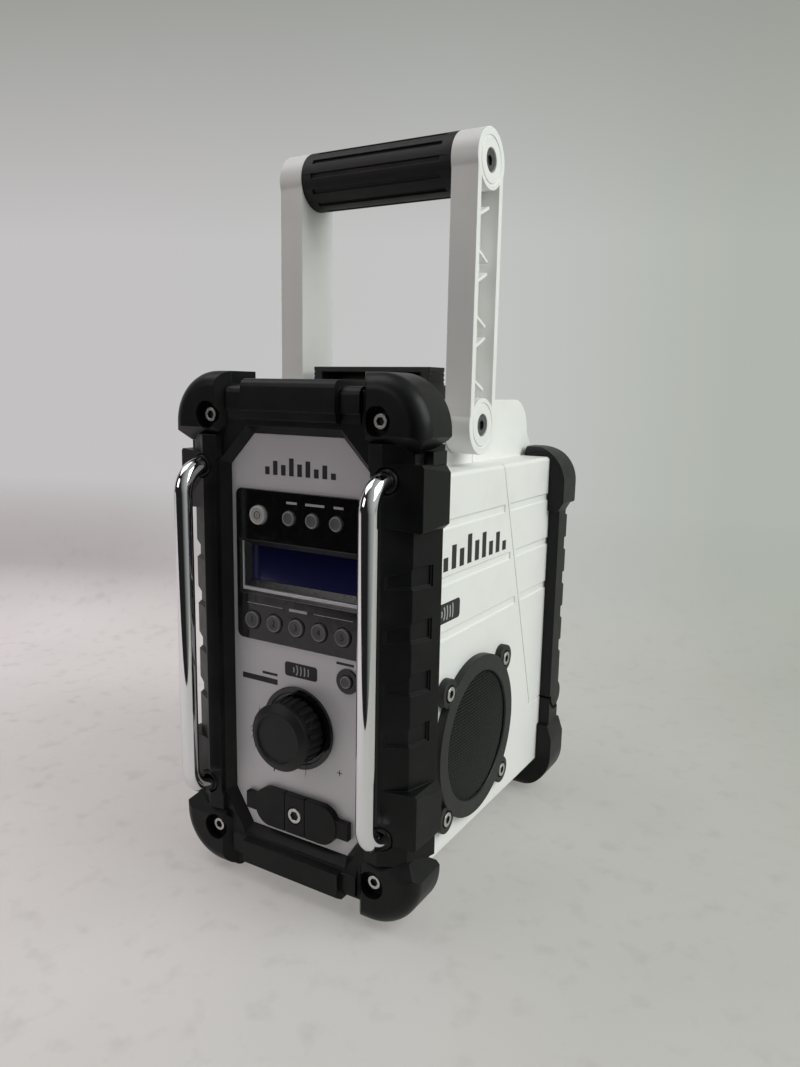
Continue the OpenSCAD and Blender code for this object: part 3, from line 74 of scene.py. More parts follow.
# ---------------------------------------------------------------- white shell
# The case halves and the handle arms are one satin white moulding compound, a little
# yellowed and dusty where hands and benches touch it. They are shown by the frame's own
# solids, with their moulded edges rounded in a copy.
class Value:
    """A shader socket that can be added and multiplied like a number."""

    def __init__(self, shader, socket):
        self.shader, self.socket = shader, socket

    def _maths(self, operation, *others):
        return self.shader.node("Math", {"operation": operation}, {
            i: v for i, v in enumerate(others)})

    def __add__(self, other):
        return self._maths("ADD", self, other)

    def __mul__(self, other):
        return self._maths("MULTIPLY", self, other)

    def __rsub__(self, other):
        return self._maths("SUBTRACT", other, self)

    __radd__, __rmul__ = __add__, __mul__

    def clamped(self, low, high):
        return self.shader.node("Map Range", {"clamp": True}, {0: self, 1: low, 2: high})


class Finish:
    """One material: its shader, and the nodes that feed it."""

    def __init__(self, name, colour, roughness, **sockets):
        self.material = bpy.data.materials.new(name)
        self.material.use_nodes = True
        self.tree = self.material.node_tree
        self.shader = self.tree.nodes["Principled BSDF"]
        self.set("Base Color", (*colour, 1) if isinstance(colour, tuple) else colour)
        self.set("Roughness", roughness)
        for socket, value in sockets.items():
            self.set(socket.replace("_", " "), value)
        self.place = None

    def set(self, socket, value):
        target = self.shader.inputs[socket]
        if isinstance(value, Value):
            self.tree.links.new(value.socket, target)
        else:
            target.default_value = value

    def node(self, kind, settings=None, inputs=None, output=0):
        kinds = {"Math": "ShaderNodeMath", "Vector": "ShaderNodeVectorMath",
                 "Map Range": "ShaderNodeMapRange", "Noise": "ShaderNodeTexNoise",
                 "Mix": "ShaderNodeMix", "Coordinates": "ShaderNodeTexCoord",
                 "Bump": "ShaderNodeBump", "Split": "ShaderNodeSeparateXYZ",
                 "Light Path": "ShaderNodeLightPath", "Emission": "ShaderNodeEmission",
                 "Mix Shader": "ShaderNodeMixShader"}
        made = self.tree.nodes.new(kinds[kind])
        for key, value in (settings or {}).items():
            setattr(made, key, value)
        for key, value in (inputs or {}).items():
            target = made.inputs[key]
            if isinstance(value, Value):
                self.tree.links.new(value.socket, target)
            else:
                target.default_value = value
        return Value(self, made.outputs[output])

    def position(self):
        if self.place is None:
            self.place = self.node("Coordinates", output="Object")
        return self.place

    def noise(self, per_metre, detail):
        return self.node("Noise", inputs={"Vector": self.position(), "Scale": per_metre,
                                          "Detail": detail})

    def blend_colour(self, factor, a, b):
        inputs = {"Factor": factor, 6: (*a, 1) if isinstance(a, tuple) else a,
                  7: (*b, 1) if isinstance(b, tuple) else b}
        return self.node("Mix", {"data_type": "RGBA"}, inputs, output=2)

    def bump(self, height, depth, strength=1.0):
        relief = self.node("Bump", inputs={"Height": height, "Distance": depth,
                                           "Strength": strength})
        self.set("Normal", relief)


def white_finish():
    finish = Finish("white_shell", (0.82, 0.82, 0.80), 0.36)
    dirt = finish.noise(38, 4.0).clamped(0.52, 0.80)
    finish.set("Base Color", finish.blend_colour(dirt * 0.5, (0.83, 0.83, 0.815),
                                                 (0.74, 0.735, 0.70)))
    finish.set("Roughness", 0.30 + finish.noise(90, 3.0) * 0.16)
    finish.bump(finish.noise(2600, 1.0), 0.00004, 0.5)
    return finish.material


white_shell = white_finish()


def deselect_all():
    if bpy.context.object and bpy.context.object.mode != "OBJECT":
        bpy.ops.object.mode_set(mode="OBJECT")
    bpy.ops.object.select_all(action="DESELECT")


def make_active(piece):
    deselect_all()
    piece.select_set(True)
    bpy.context.view_layer.objects.active = piece


def coat(piece, material):
    piece.data.materials.clear()
    piece.data.materials.append(material)


def bodies_of():
    return {node: body for body, nodes in frame["record"]["behaviour"]["bodies"].items()
            for node in nodes}


body_of_node = bodies_of()


def mend_flats(piece):
    """Fill again the flat faces whose rims fold a little where their edges were rounded."""
    form = bmesh.new()
    form.from_mesh(piece.data)
    covered = {}
    for corners in form.calc_loop_triangles():
        a, b, c = (corner.vert.co for corner in corners)
        face = corners[0].face
        covered[face] = covered.get(face, 0) + (b - a).cross(c - a).length / 2
    folded = [face for face, area in covered.items()
              if len(face.verts) > 4 and area > face.calc_area() * 1.001 + 1e-9]
    for face in folded:
        rim = [edge for edge in face.edges if edge.is_manifold]
        facing = face.normal.copy()
        form.faces.remove(face)
        bmesh.ops.triangle_fill(form, use_beauty=True, edges=rim, normal=facing)
    form.to_mesh(piece.data)
    form.free()


def smooth_over(piece, angle=38):
    """Smooth shading that leaves the large flat faces flat."""
    make_active(piece)
    bpy.ops.object.shade_smooth_by_angle(angle=math.radians(angle))
    flats = piece.modifiers.new("flats", "WEIGHTED_NORMAL")
    flats.keep_sharp = True
    bpy.ops.object.modifier_apply(modifier="flats")


def rounded_copy(node, material, edge, steps=3, sharp=28, merge=0.1 * mm):
    """A copy of a node's solid with its sharp edges rounded, which stands for the node."""
    source = frame["nodes"][node]
    piece = bpy.data.objects.new(node + "_skin", source.data.copy())
    bpy.context.scene.collection.objects.link(piece)
    make_active(piece)
    bpy.ops.object.mode_set(mode="EDIT")
    bpy.ops.mesh.select_all(action="SELECT")
    bpy.ops.mesh.remove_doubles(threshold=merge)
    bpy.ops.mesh.dissolve_limited(angle_limit=math.radians(0.1), delimit={"NORMAL"})
    bpy.ops.object.mode_set(mode="OBJECT")
    if edge:
        bevel = piece.modifiers.new("edges", "BEVEL")
        bevel.width, bevel.segments, bevel.loop_slide = edge, steps, False
        bevel.limit_method, bevel.angle_limit = "ANGLE", math.radians(sharp)
        bevel.use_clamp_overlap = False
        bpy.ops.object.modifier_apply(modifier="edges")
        mend_flats(piece)
    smooth_over(piece)
    coat(piece, material)
    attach(piece, body_of_node[node])
    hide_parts(node)
    return piece


for node in ("main_housing", "battery_door"):
    rounded_copy(node, white_shell, 0.5 * mm)
for node in ("handle_arm_left", "handle_arm_right"):
    rounded_copy(node, white_shell, 0.3 * mm)


# ---------------------------------------------------------------- black elastomer
# The front frame and the rear bumpers are thick elastomer mouldings, stretched over the
# case and held by screws in their corner blocks. The skin is satin, with a fine grain and
# a little dust.
def elastomer_finish():
    finish = Finish("black_elastomer", (0.005, 0.0053, 0.0055), 0.40, Specular_IOR_Level=0.24)
    dust = finish.noise(55, 4.0).clamped(0.48, 0.85)
    finish.set("Base Color", finish.blend_colour(dust, (0.0030, 0.0033, 0.0036),
                                                 (0.0090, 0.0096, 0.0095)))
    finish.set("Roughness", 0.30 + finish.noise(130, 3.0) * 0.18)
    finish.bump(finish.noise(2200, 1.0), 0.00006, 0.6)
    return finish.material


black_elastomer = elastomer_finish()
rounded_copy("front_frame", black_elastomer, 0.3 * mm)
for node in ("lower_bumper", "door_bumper"):
    rounded_copy(node, black_elastomer, 0.5 * mm)
for node in ("bar_collars", "socket_cover_middle", "socket_lid_left", "socket_lid_right",
             "rubber_feet", "door_seal"):
    rounded_copy(node, black_elastomer, 0.4 * mm)


# ---------------------------------------------------------------- front panel
# A moulded panel painted a satin silver-grey, set into the frame. The paint has a very
# fine metallic fleck.
def panel_finish():
    finish = Finish("silver_paint", (0.64, 0.62, 0.65), 0.42, Metallic=0.3)
    fleck = finish.noise(5200, 1.0)
    finish.set("Base Color", finish.blend_colour(
        fleck.clamped(0.35, 0.65), (0.60, 0.585, 0.61), (0.68, 0.665, 0.69)))
    finish.set("Roughness", 0.36 + finish.noise(60, 3.0) * 0.14)
    return finish.material


silver_paint = panel_finish()
rounded_copy("front_panel", silver_paint, 0.25 * mm)


# ---------------------------------------------------------------- display
# A bezel with gloss black faces and a sunken window between two satin sloping lips. The
# display behind the window has a painted glow of dark blue that stands in for the light on
# it. The glow is near black at the top and stronger towards its lower edge.
def gloss_finish():
    finish = Finish("gloss_black", (0.004, 0.004, 0.005), 0.12)
    facing = finish.node("Coordinates", output="Normal")
    ahead = finish.node("Split", inputs={0: facing}, output=1)
    dust = finish.noise(300, 4.0).clamped(0.45, 0.75)
    finish.set("Roughness", 0.10 + dust * 0.12 + (1 - ahead * ahead) * 0.32)
    return finish.material


def display_finish():
    finish = Finish("display_painted_glow", (0.004, 0.004, 0.03), 0.08)
    low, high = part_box("display_window")
    height = finish.node("Split", inputs={0: finish.position()}, output=2)
    # Painted light: the display's glow is near black at its top and brightest at its lower edge.
    painted_light_fade = height.clamped(high.z, low.z)
    colour = finish.blend_colour(painted_light_fade, (0.0002, 0.0003, 0.0058), (0.0035, 0.0038, 0.019))
    finish.set("Base Color", (0.001, 0.001, 0.004, 1))
    finish.set("Emission Color", colour)
    finish.set("Emission Strength", 1.0)
    return finish.material


gloss_black = gloss_finish()
rounded_copy("display_bezel", gloss_black, 0.35 * mm)
coat(frame["nodes"]["display_window"], display_finish())
coat(frame["nodes"]["display_module"], gloss_black)


# ---------------------------------------------------------------- chrome guard bars
# Two steel bars, bent at both ends, polished and chrome plated.
def chrome_finish():
    finish = Finish("chrome", (0.80, 0.80, 0.82), 0.05, Metallic=1.0)
    finish.set("Roughness", 0.04 + finish.noise(120, 4.0).clamped(0.5, 0.8) * 0.10)
    return finish.material


chrome = chrome_finish()
for node in ("guard_bar_left", "guard_bar_right"):
    rounded_copy(node, chrome, 0.2 * mm, 3, 50)


# ---------------------------------------------------------------- screws
# Zinc plated screws with round heads and hexagon sockets. They hold the frame, the
# grilles, the socket cover and the rear bumper. The faces in their sockets are painted
# near black, as painted shade.
def zinc_finish():
    finish = Finish("zinc", (0.60, 0.60, 0.58), 0.3, Metallic=1.0)
    finish.set("Roughness", 0.24 + finish.noise(700, 3.0) * 0.22)
    return finish.material


zinc = zinc_finish()
shade = Finish("socket_shade", (0.006, 0.006, 0.006), 0.6).material
frame_face = -99.9
pivot_y, pivot_z, grip_z = -3.65, 270, 414
speaker_y, speaker_z = (86.25 + frame_face) * mm, 86.3 * mm
grille_step = 37.5 * mm


def darken_sockets(piece, axis, radius):
    """Paint the faces that lie wholly inside the sockets of a group of screws near black, as
    painted shade.
    """
    piece.data.materials.append(shade)
    centres = socket_centres[piece.name]
    for face in piece.data.polygons:
        corners = [piece.data.vertices[i].co for i in face.vertices]
        for centre in centres:
            gaps = [[c[k] - centre[k] for k in range(3) if k != axis] for c in corners]
            if all(math.hypot(*gap) < radius for gap in gaps):
                face.material_index = 1


def four_places(x, y, z_top, z_low):
    return [Vector((side * x, y, z)) for side in (-1, 1) for z in (z_top, z_low)]


socket_centres = {
    "case_screws_skin": four_places(56 * mm, 0, 274 * mm, 27 * mm),
    "grille_screws_skin": [
        Vector((0, speaker_y + k * grille_step, speaker_z + m * grille_step))
        for k in (-1, 1) for m in (-1, 1)],
    "socket_cover_screw_skin": [Vector((0, 0, 48 * mm))],
    "handle_top_screws_skin": [Vector((0, pivot_y * mm, grip_z * mm))],
    "handle_pivot_screws_skin": [Vector((0, pivot_y * mm, pivot_z * mm))],
}
darken_sockets(rounded_copy("case_screws", zinc, 0.25 * mm), 1, 2.45 * mm)
darken_sockets(rounded_copy("grille_screws", zinc, 0.3 * mm), 0, 2.5 * mm)
darken_sockets(rounded_copy("socket_cover_screw", zinc, 0.35 * mm), 1, 2.9 * mm)
rounded_copy("door_screws", zinc, 0.2 * mm)


# ---------------------------------------------------------------- speakers
# A moulded black grille ring is screwed over a mesh of woven steel wire, painted black, on
# each side. The paper cone of the driver lies in the dark behind the mesh. A near black
# tube inside the opening, behind the mesh, is painted shade.
grille_plastic = Finish("grille_plastic", (0.0100, 0.0112, 0.0105), 0.4, Specular_IOR_Level=0.34)
grille_plastic.set("Roughness", 0.36 + grille_plastic.noise(90, 3.0) * 0.16)
grille_plastic.bump(grille_plastic.noise(2400, 1.0), 0.00005, 0.5)
for node in ("speaker_grille_left", "speaker_grille_right"):
    rounded_copy(node, grille_plastic.material, 0.5 * mm)
mesh_paint = Finish("mesh_paint", (0.040, 0.043, 0.041), 0.42, Metallic=0.3).material
cone_paper_and_painted_shade = Finish("cone_paper_and_painted_shade", (0.004, 0.004, 0.004), 0.9).material


def place_piece(piece, material, body, *nodes):
    """Finish a new piece: its place goes into its mesh, and it rides on a body."""
    make_active(piece)
    bpy.ops.object.transform_apply(location=True, rotation=True, scale=True)
    coat(piece, material)
    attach(piece, body)
    if nodes:
        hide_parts(*nodes)
    return piece


def keep_vertices(piece, wanted):
    """Cut away the vertices of the active piece that aren't wanted."""
    bpy.ops.object.mode_set(mode="EDIT")
    bpy.ops.mesh.select_mode(type="VERT")
    bpy.ops.mesh.select_all(action="DESELECT")
    bpy.ops.object.mode_set(mode="OBJECT")
    for vertex in piece.data.vertices:
        vertex.select = not wanted(vertex.co)
    bpy.ops.object.mode_set(mode="EDIT")
    bpy.ops.mesh.delete(type="VERT")
    bpy.ops.object.mode_set(mode="OBJECT")


def wire_mesh(side, name):
    pitch, cells, rim_r, dome = 1.85 * mm, 45, 40.2 * mm, 2.1 * mm
    wire_x, shade_tube_x = 74.4 * mm, 70.4 * mm
    deselect_all()
    bpy.ops.mesh.primitive_grid_add(x_subdivisions=cells, y_subdivisions=cells,
                                    size=cells * pitch)
    piece = bpy.context.object
    piece.name = name + "_wires"
    for vertex in piece.data.vertices:
        reach = math.hypot(vertex.co.x, vertex.co.y)
        vertex.co.z = dome * (1 - (reach / rim_r) ** 2)
    keep_vertices(piece, lambda spot: math.hypot(spot.x, spot.y) <= rim_r)
    wires = piece.modifiers.new("wires", "WIREFRAME")
    wires.thickness, wires.use_even_offset = 0.62 * mm, False
    bpy.ops.object.modifier_apply(modifier="wires")
    piece.rotation_euler = (0, side * math.radians(90), 0)
    piece.location = (side * wire_x, speaker_y, speaker_z)
    place_piece(piece, mesh_paint, body_of_node[name], name)
    # A near black tube inside the speaker opening, behind the mesh: painted shade that darkens
    # the opening.
    bpy.ops.mesh.primitive_cylinder_add(vertices=96, radius=40.3 * mm, depth=4.4 * mm,
                                        end_fill_type="NOTHING",
                                        location=(side * shade_tube_x, speaker_y, speaker_z),
                                        rotation=(0, math.radians(90), 0))
    shade_tube = bpy.context.object
    shade_tube.name = name + "_painted_shade_tube"
    wall = shade_tube.modifiers.new("wall", "SOLIDIFY")
    wall.thickness, wall.offset = 0.6 * mm, -1
    bpy.ops.object.modifier_apply(modifier="wall")
    place_piece(shade_tube, cone_paper_and_painted_shade, body_of_node[name])


wire_mesh(1, "speaker_mesh_right")
wire_mesh(-1, "speaker_mesh_left")
for node in ("speaker_driver_left", "speaker_driver_right"):
    coat(frame["nodes"][node], cone_paper_and_painted_shade)


# ---------------------------------------------------------------- knob
# A moulded knob with a rubber skin: a broad rim, a dished face and flutes behind the rim.
# It turns in front of a flat ring that is fixed to the panel.
knob_rubber = Finish("knob_rubber", (0.0062, 0.0062, 0.0068), 0.45, Specular_IOR_Level=0.38)
knob_rubber.set("Roughness", 0.42 + knob_rubber.noise(160, 3.0) * 0.14)
knob_rubber.bump(knob_rubber.noise(3000, 1.0), 0.00004, 0.5)
rounded_copy("control_knob", knob_rubber.material, 0.45 * mm)
rounded_copy("knob_skirt", gloss_black, 0.3 * mm)


# ---------------------------------------------------------------- buttons
# Silicone buttons with dished caps. A ring runs round each cap. On the preset, function and
# tune buttons its paler grey is a painted highlight, and the power button is silver. The
# preset buttons are numbered.
def at(x, depth, z):
    """A place in metres. The depth is counted from the front face of the frame."""
    return Vector((x, depth + frame_face, z)) * mm


def rubber(name, colour, roughness=0.4):
    finish = Finish(name, colour, roughness)
    finish.set("Roughness", roughness - 0.05 + finish.noise(500, 2.0) * 0.12)
    return finish.material


def rim_ring(name, spot, radius, thickness, material, body):
    deselect_all()
    bpy.ops.mesh.primitive_torus_add(major_segments=48, minor_segments=10,
                                     major_radius=radius * mm, minor_radius=thickness * mm,
                                     location=spot, rotation=(math.radians(90), 0, 0))
    ring = bpy.context.object
    ring.name = name
    make_active(ring)
    bpy.ops.object.shade_smooth()
    return place_piece(ring, material, body)


def lettering(name, words, spot, height, material, body):
    """Printed figures on a face that looks to the front, as a thin solid."""
    deselect_all()
    bpy.ops.object.text_add(location=(0, 0, 0))
    text = bpy.context.object
    text.name = name
    text.data.body = words
    text.data.size, text.data.extrude = height * 1.35 * mm, 0.03 * mm
    text.data.align_x, text.data.align_y = "CENTER", "CENTER"
    bpy.ops.object.convert(target="MESH")
    text = bpy.context.object
    text.rotation_euler = (math.radians(90), 0, 0)
    text.location = spot
    return place_piece(text, material, body)


preset_grey = rubber("preset_grey", (0.085, 0.085, 0.088))
function_grey = rubber("function_grey", (0.095, 0.097, 0.099))
power_grey = rubber("power_grey", (0.40, 0.39, 0.38), 0.32)
# The paler grey of the preset and function rims is a painted highlight on the caps' edges.
preset_rim_painted_highlight = rubber("preset_rim_painted_highlight", (0.19, 0.19, 0.195))
function_rim_painted_highlight = rubber("function_rim_painted_highlight", (0.26, 0.26, 0.265))
power_rim = rubber("power_rim", (0.55, 0.54, 0.52), 0.3)
dark_print = Finish("dark_print", (0.010, 0.010, 0.011), 0.5).material
preset_z, function_z = 158.8, 219.6
for k in range(5):
    node = f"preset_button_{k + 1}"
    x = (k - 2) * 15.6
    rounded_copy(node, preset_grey, 0.25 * mm)
    rim_ring(node + "_rim", at(x, 7.45, preset_z), 4.35, 0.42, preset_rim_painted_highlight, body_of_node[node])
    lettering(node + "_figure", str(k + 1), at(x, 7.48, preset_z), 3.9, dark_print,
              body_of_node[node])
for k in range(3):
    node = f"function_button_{k + 1}"
    rounded_copy(node, function_grey, 0.25 * mm)
    rim_ring(node + "_rim", at(11.1 + (k - 1) * 15.7, 7.25, function_z), 3.5, 0.4,
             function_rim_painted_highlight, body_of_node[node])
rounded_copy("power_button", power_grey, 0.25 * mm)
power_spot = at(-26, 6.85, function_z)
rim_ring("power_rim", power_spot, 4.75, 0.45, power_rim, body_of_node["power_button"])
rim_ring("power_sign_ring", power_spot, 2.0, 0.16, dark_print, body_of_node["power_button"])
lettering("power_sign_bar", "|", power_spot, 1.7, dark_print, body_of_node["power_button"])
rounded_copy("tune_button", function_grey, 0.25 * mm)
rim_ring("tune_rim", at(33.5, 7.72, 134.3), 2.95, 0.4, function_rim_painted_highlight,
         body_of_node["tune_button"])
rounded_copy("tune_ring", gloss_black, 0.3 * mm)


# ---------------------------------------------------------------- printed marks
# Plain printing without any name: level bars where a name could stand, a plate with sound
# waves, short dashes for captions, fine lines and a plus sign. The ink lies flat on the
# panel, the bezel and the sides.
def bar(spot, size, turn=0):
    """A thin printed bar. Its size is across, through and up, in millimetres."""
    deselect_all()
    bpy.ops.mesh.primitive_cube_add(size=1, location=spot, rotation=(0, turn, 0))
    piece = bpy.context.object
    piece.scale = Vector(size) * mm
    bpy.ops.object.transform_apply(location=False, rotation=False, scale=True)
    return piece


def arc(spot, radius, thickness, spread, turn=(math.radians(90), 0, 0), middle=0):
    """A printed arc, cut from a flat ring, about its middle angle."""
    deselect_all()
    bpy.ops.mesh.primitive_torus_add(major_segments=72, minor_segments=6,
                                     major_radius=radius * mm, minor_radius=thickness * mm)
    piece = bpy.context.object
    for vertex in piece.data.vertices:
        vertex.co.z *= 0.2
    keep_vertices(piece, lambda spot: abs(
        (math.degrees(math.atan2(spot.y, spot.x)) - middle + 180) % 360 - 180) <= spread / 2)
    piece.rotation_euler, piece.location = turn, spot
    return piece


def plate(spot, width, height, corner, turn=0):
    """A thin printed plate with round corners, that faces the front before it's turned."""
    deselect_all()
    bpy.ops.mesh.primitive_plane_add(size=1, rotation=(math.radians(90), 0, 0))
    piece = bpy.context.object
    piece.scale = Vector((width, height, 1)) * mm
    bpy.ops.object.transform_apply(location=False, rotation=True, scale=True)
    corners = piece.modifiers.new("corners", "BEVEL")
    corners.affect, corners.width, corners.segments = "VERTICES", corner * mm, 8
    bpy.ops.object.modifier_apply(modifier="corners")
    solid = piece.modifiers.new("solid", "SOLIDIFY")
    solid.thickness, solid.offset = ink * mm, 0
    bpy.ops.object.modifier_apply(modifier="solid")
    piece.rotation_euler, piece.location = (0, 0, turn), spot
    return piece


def waves(spot, pitch, thickness, half_height, turn=(math.radians(90), 0, 0)):
    """Five printed sound waves that stay inside a plate."""
    reach = [min(1, half_height / (pitch * (k + 1))) for k in range(5)]
    return [arc(spot, pitch * (k + 1), thickness, min(80, 2 * math.degrees(math.asin(reach[k]))),
                turn) for k in range(5)]


def print_group(name, pieces, material, body="root"):
    deselect_all()
    for piece in pieces:
        piece.select_set(True)
    bpy.context.view_layer.objects.active = pieces[0]
    if len(pieces) > 1:
        bpy.ops.object.join()
    merged = bpy.context.view_layer.objects.active
    merged.name = name
    return place_piece(merged, material, body)


levels = (0.45, 0.8, 0.6, 1.0, 0.7, 0.9, 0.5, 0.75, 0.35)
light_print = Finish("light_print", (0.42, 0.42, 0.43), 0.5).material
home = body_of_node["front_panel"]
panel_face, bezel_face, ink = 10.25 - 0.03, 8.75 - 0.03, 0.08

print_group("panel_level_bars", [
    bar(at(-21 + 5.55 * k, panel_face, 242.4 + 4.8 * tall), (3.1, ink, 9.6 * tall))
    for k, tall in enumerate(levels)], dark_print, home)
print_group("panel_wave_plate", [plate(at(1.7, panel_face, 133.6), 22.6, 8.3, 1.8)],
            dark_print, home)
print_group("panel_waves", waves(at(-5.6, panel_face - 0.05, 133.6), 2.5, 0.42, 3.1),
            light_print, home)
print_group("panel_captions", [
    bar(at(-20.5, panel_face, 128), (11, ink, 1.5)),
    bar(at(-28, panel_face, 123.7), (26, ink, 3.3)),
    bar(at(31.6, panel_face, 143.4), (11.4, ink, 1.4)),
    bar(at(28.4, panel_face, 80), (3.4, ink, 0.5)),
    bar(at(28.4, panel_face, 80), (0.5, ink, 3.4))], dark_print, home)
print_group("bezel_captions", [
    bar(at(-3.2, bezel_face, 228), (7.2, ink, 1.3)),
    bar(at(12.4, bezel_face, 228), (12.6, ink, 1.3)),
    bar(at(27.8, bezel_face, 228), (6.2, ink, 1.3)),
    bar(at(1, bezel_face, 168.3), (12.4, ink, 1.5)),
    bar(at(-22.6, bezel_face, 168.4), (25.5, ink, 0.32)),
    bar(at(24.5, bezel_face, 168.4), (25.5, ink, 0.32))], light_print, home)
side_face, side_mark_z = 71.68, 169.7
sides = ((1, "right"), (-1, "left"))
for side, name in sides:
    print_group("side_level_bars_" + name, [
        bar(Vector((side * side_face, -53 + 9.6 * k, 193 + 8.4 * tall)) * mm,
            (ink, 5.4, 16.8 * tall)) for k, tall in enumerate(levels)], dark_print, home)
side_turn = (math.radians(90), 0, math.radians(90))
for side, name in sides:
    print_group("side_wave_plate_" + name, [
        plate(Vector((side * side_face, -49.6, side_mark_z)) * mm, 30, 11.3, 2.4,
              math.radians(90))], dark_print, home)
    print_group("side_waves_" + name, waves(
        Vector((side * (side_face + 0.05), -59, side_mark_z)) * mm, 3.2, 0.55, 4.3, side_turn),
        light_print, home)


# ---------------------------------------------------------------- handle and latch
# A ribbed rubber grip on a steel tube, between the two arms. Dark steel bolts hold the
# arms. The latch is a black moulding on a steel pin.
grip_rubber = Finish("grip_rubber", (0.0050, 0.0050, 0.0056), 0.5, Specular_IOR_Level=0.36)
grip_rubber.set("Roughness", 0.44 + grip_rubber.noise(120, 4.0) * 0.2)
grip_rubber.bump(grip_rubber.noise(1800, 2.0), 0.00007, 0.6)
rounded_copy("handle_grip", grip_rubber.material, 0.35 * mm)
dark_steel = Finish("dark_steel", (0.17, 0.175, 0.185), 0.33, Metallic=1.0)
dark_steel.set("Roughness", 0.26 + dark_steel.noise(600, 3.0) * 0.2)
for node in ("handle_top_screws", "handle_pivot_screws"):
    darken_sockets(rounded_copy(node, dark_steel.material, 0.3 * mm), 0, 3.3 * mm)
latch_plastic = rubber("latch_plastic", (0.012, 0.012, 0.0125), 0.4)
rounded_copy("latch_lever", latch_plastic, 0.35 * mm)
for node in ("grip_tube", "latch_pin", "door_hinge_pin", "encoder_shaft"):
    coat(frame["nodes"][node], zinc)


# ---------------------------------------------------------------- inside parts
# Circuit boards in green lacquer, black sockets and mouldings, and the cells' holder.
board_green = rubber("board_green", (0.010, 0.085, 0.030), 0.35)
inner_plastic = rubber("inner_plastic", (0.030, 0.030, 0.032), 0.45)
for node in ("main_board", "button_board"):
    coat(frame["nodes"][node], board_green)
for node in ("encoder_body", "battery_tray", "battery_terminal", "backup_cell_holder",
             "aux_socket", "supply_socket", "aerial_socket"):
    coat(frame["nodes"][node], inner_plastic)


# ---------------------------------------------------------------- floor, wall and light
# A pale concrete floor runs in a soft curve into a pale wall. The light is a wide soft
# window high at the right, with weaker light from the left and from the ceiling. The room
# in front of the radio is dark. The colours of the floor and the wall also hold painted light
# and shade, and for camera, glossy and transmission rays they glow with these colours.
wall_turn = azimuth - math.radians(8.05)
along_wall = (math.cos(wall_turn), math.sin(wall_turn), 0)


def stage_finish():
    finish = Finish("pale_stage", (0.70, 0.68, 0.675), 0.8)
    across = finish.node("Vector", {"operation": "DOT_PRODUCT"},
                         {0: finish.position(), 1: along_wall}, output=1)
    painted_light_to_right = across.clamped(-0.45, 0.45)
    mottle = finish.noise(7, 6.0).clamped(0.30, 0.72)
    speckle = finish.noise(60, 5.0).clamped(0.55, 0.80)
    # Painted light and shade in the floor's colour: paler and pinker at the left, darker and
    # greener at the right. The mottle and speckle over it are the concrete's own.
    side = finish.blend_colour(painted_light_to_right, (0.80, 0.75, 0.755), (0.43, 0.45, 0.405))
    mottle_over_painted_light = finish.blend_colour(speckle * 0.30 + mottle * 0.12, side, (0.36, 0.345, 0.33))
    finish.set("Base Color", mottle_over_painted_light)
    finish.bump(finish.noise(90, 6.0), 0.0006, 0.35)
    height = finish.node("Split", inputs={0: finish.position()}, output=2)
    rise = 0.42 + height.clamped(0.003, 0.15) * 0.58
    path = finish.node("Light Path")
    kinds = [Value(finish, path.socket.node.outputs[f"Is {kind} Ray"])
             for kind in ("Camera", "Glossy", "Transmission")]
    seen = (kinds[0] + kinds[1] + kinds[2]).clamped(0, 1)
    cloud = finish.noise(1.6, 1.0).clamped(0.3, 0.7)
    # Painted shadow: low on the left the wall's colour darkens towards the floor.
    wall_left = finish.blend_colour(height.clamped(0.07, 0.17), (0.36, 0.325, 0.33),
                                    (0.55, 0.535, 0.54))
    wall_middle = finish.blend_colour(cloud, (0.53, 0.535, 0.53), (0.56, 0.565, 0.56))
    # The right of the wall is painted darker, as painted shade.
    wall_right = (0.435, 0.462, 0.418)
    wall = finish.blend_colour(across.clamped(-0.42, -0.05), wall_left, wall_middle)
    wall = finish.blend_colour(across.clamped(0.0, 0.32), wall, wall_right)
    # Towards its top the wall is painted darker, as painted shade.
    wall = finish.blend_colour(height.clamped(0.46, 0.80), wall, (0.29, 0.30, 0.275))
    # The floor's glow carries the same painted light: paler at the left, darker at the right.
    floor = finish.blend_colour(painted_light_to_right, (0.80, 0.74, 0.75), (0.40, 0.42, 0.375))
    floor = finish.blend_colour(speckle * 0.30 + mottle * 0.15, floor, (0.36, 0.345, 0.33))
    pale = finish.blend_colour(height.clamped(0.0, 0.06), floor, wall)
    glow = finish.node("Emission", inputs={"Color": pale, "Strength": 1.0})
    plain = Value(finish, finish.shader.outputs[0])
    mixed = finish.node("Mix Shader", inputs={0: rise * seen, 1: plain, 2: glow})
    finish.tree.links.new(mixed.socket, finish.tree.nodes["Material Output"].inputs[0])
    return finish.material


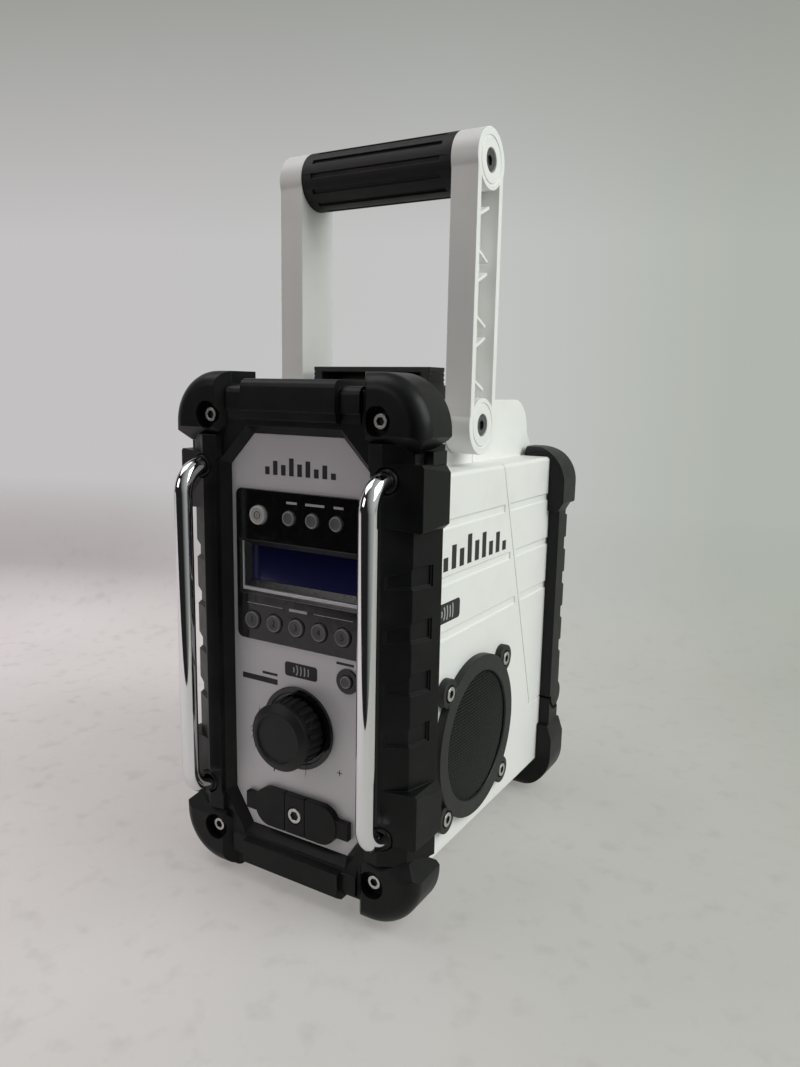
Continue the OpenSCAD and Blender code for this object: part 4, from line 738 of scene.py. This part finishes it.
stage_width, floor_depth, wall_height, bend = 8, 0.90, 5, 0.15
wall_foot = Vector((-0.1625, 0.290, 0))
deselect_all()
bpy.ops.mesh.primitive_plane_add(size=1, location=(0, 0, 0))
stage = bpy.context.object
stage.name = "floor_and_wall"
stage.scale = (stage_width, floor_depth, 1)
bpy.ops.object.transform_apply(location=False, rotation=False, scale=True)
bpy.ops.object.mode_set(mode="EDIT")
bpy.ops.mesh.select_mode(type="VERT")
bpy.ops.mesh.select_all(action="DESELECT")
bpy.ops.object.mode_set(mode="OBJECT")
for vertex in stage.data.vertices:
    vertex.select = vertex.co.y > 0
bpy.ops.object.mode_set(mode="EDIT")
bpy.ops.mesh.extrude_region_move(TRANSFORM_OT_translate={"value": (0, 0, wall_height)})
bpy.ops.object.mode_set(mode="OBJECT")
curve = stage.modifiers.new("curve", "BEVEL")
curve.width, curve.segments, curve.limit_method = bend, 16, "ANGLE"
bpy.ops.object.modifier_apply(modifier="curve")
bpy.ops.object.shade_smooth()
away = Vector((-math.sin(wall_turn), math.cos(wall_turn), 0))
stage.rotation_euler = (0, 0, wall_turn)
stage.location = wall_foot + away * (bend - floor_depth / 2)
bpy.ops.object.transform_apply(location=True, rotation=True, scale=True)
coat(stage, stage_finish())


def soft_lamp(name, place, aim, size, power, colour):
    lamp = bpy.data.lights.new(name, "AREA")
    lamp.size, lamp.energy, lamp.color = size, power, colour
    holder = bpy.data.objects.new(name, lamp)
    holder.location = place
    holder.rotation_euler = (Vector(aim) - Vector(place)).to_track_quat("-Z", "Y").to_euler()
    bpy.context.scene.collection.objects.link(holder)


class Sky(Finish):
    """The room around the radio, pale towards the window and dark in front."""

    def __init__(self, name, window, pale, dark):
        world = bpy.data.worlds.new(name)
        world.use_nodes = True
        bpy.context.scene.world = world
        self.tree, self.place = world.node_tree, None
        self.shader = self.tree.nodes["Background"]
        way = self.node("Coordinates", output="Generated")
        facing = self.node("Vector", {"operation": "DOT_PRODUCT"}, {0: way, 1: window},
                           output=1)
        self.set("Color", self.blend_colour(facing.clamped(0, 1), dark, pale))


middle = (0, 0, 0.2)
soft_lamp("window_right", (1.5, 0.20, 1.25), middle, 1.3, 24, (0.96, 1.0, 0.97))
soft_lamp("front_left", (-0.9, -1.5, 0.9), middle, 0.7, 4, (1.0, 0.92, 0.90))
soft_lamp("ceiling", (-0.85, -0.40, 1.8), middle, 1.3, 11, (1.0, 0.95, 0.97))
Sky("room", (0.78, 0.30, 0.55), (0.55, 0.57, 0.55), (0.015, 0.015, 0.015))
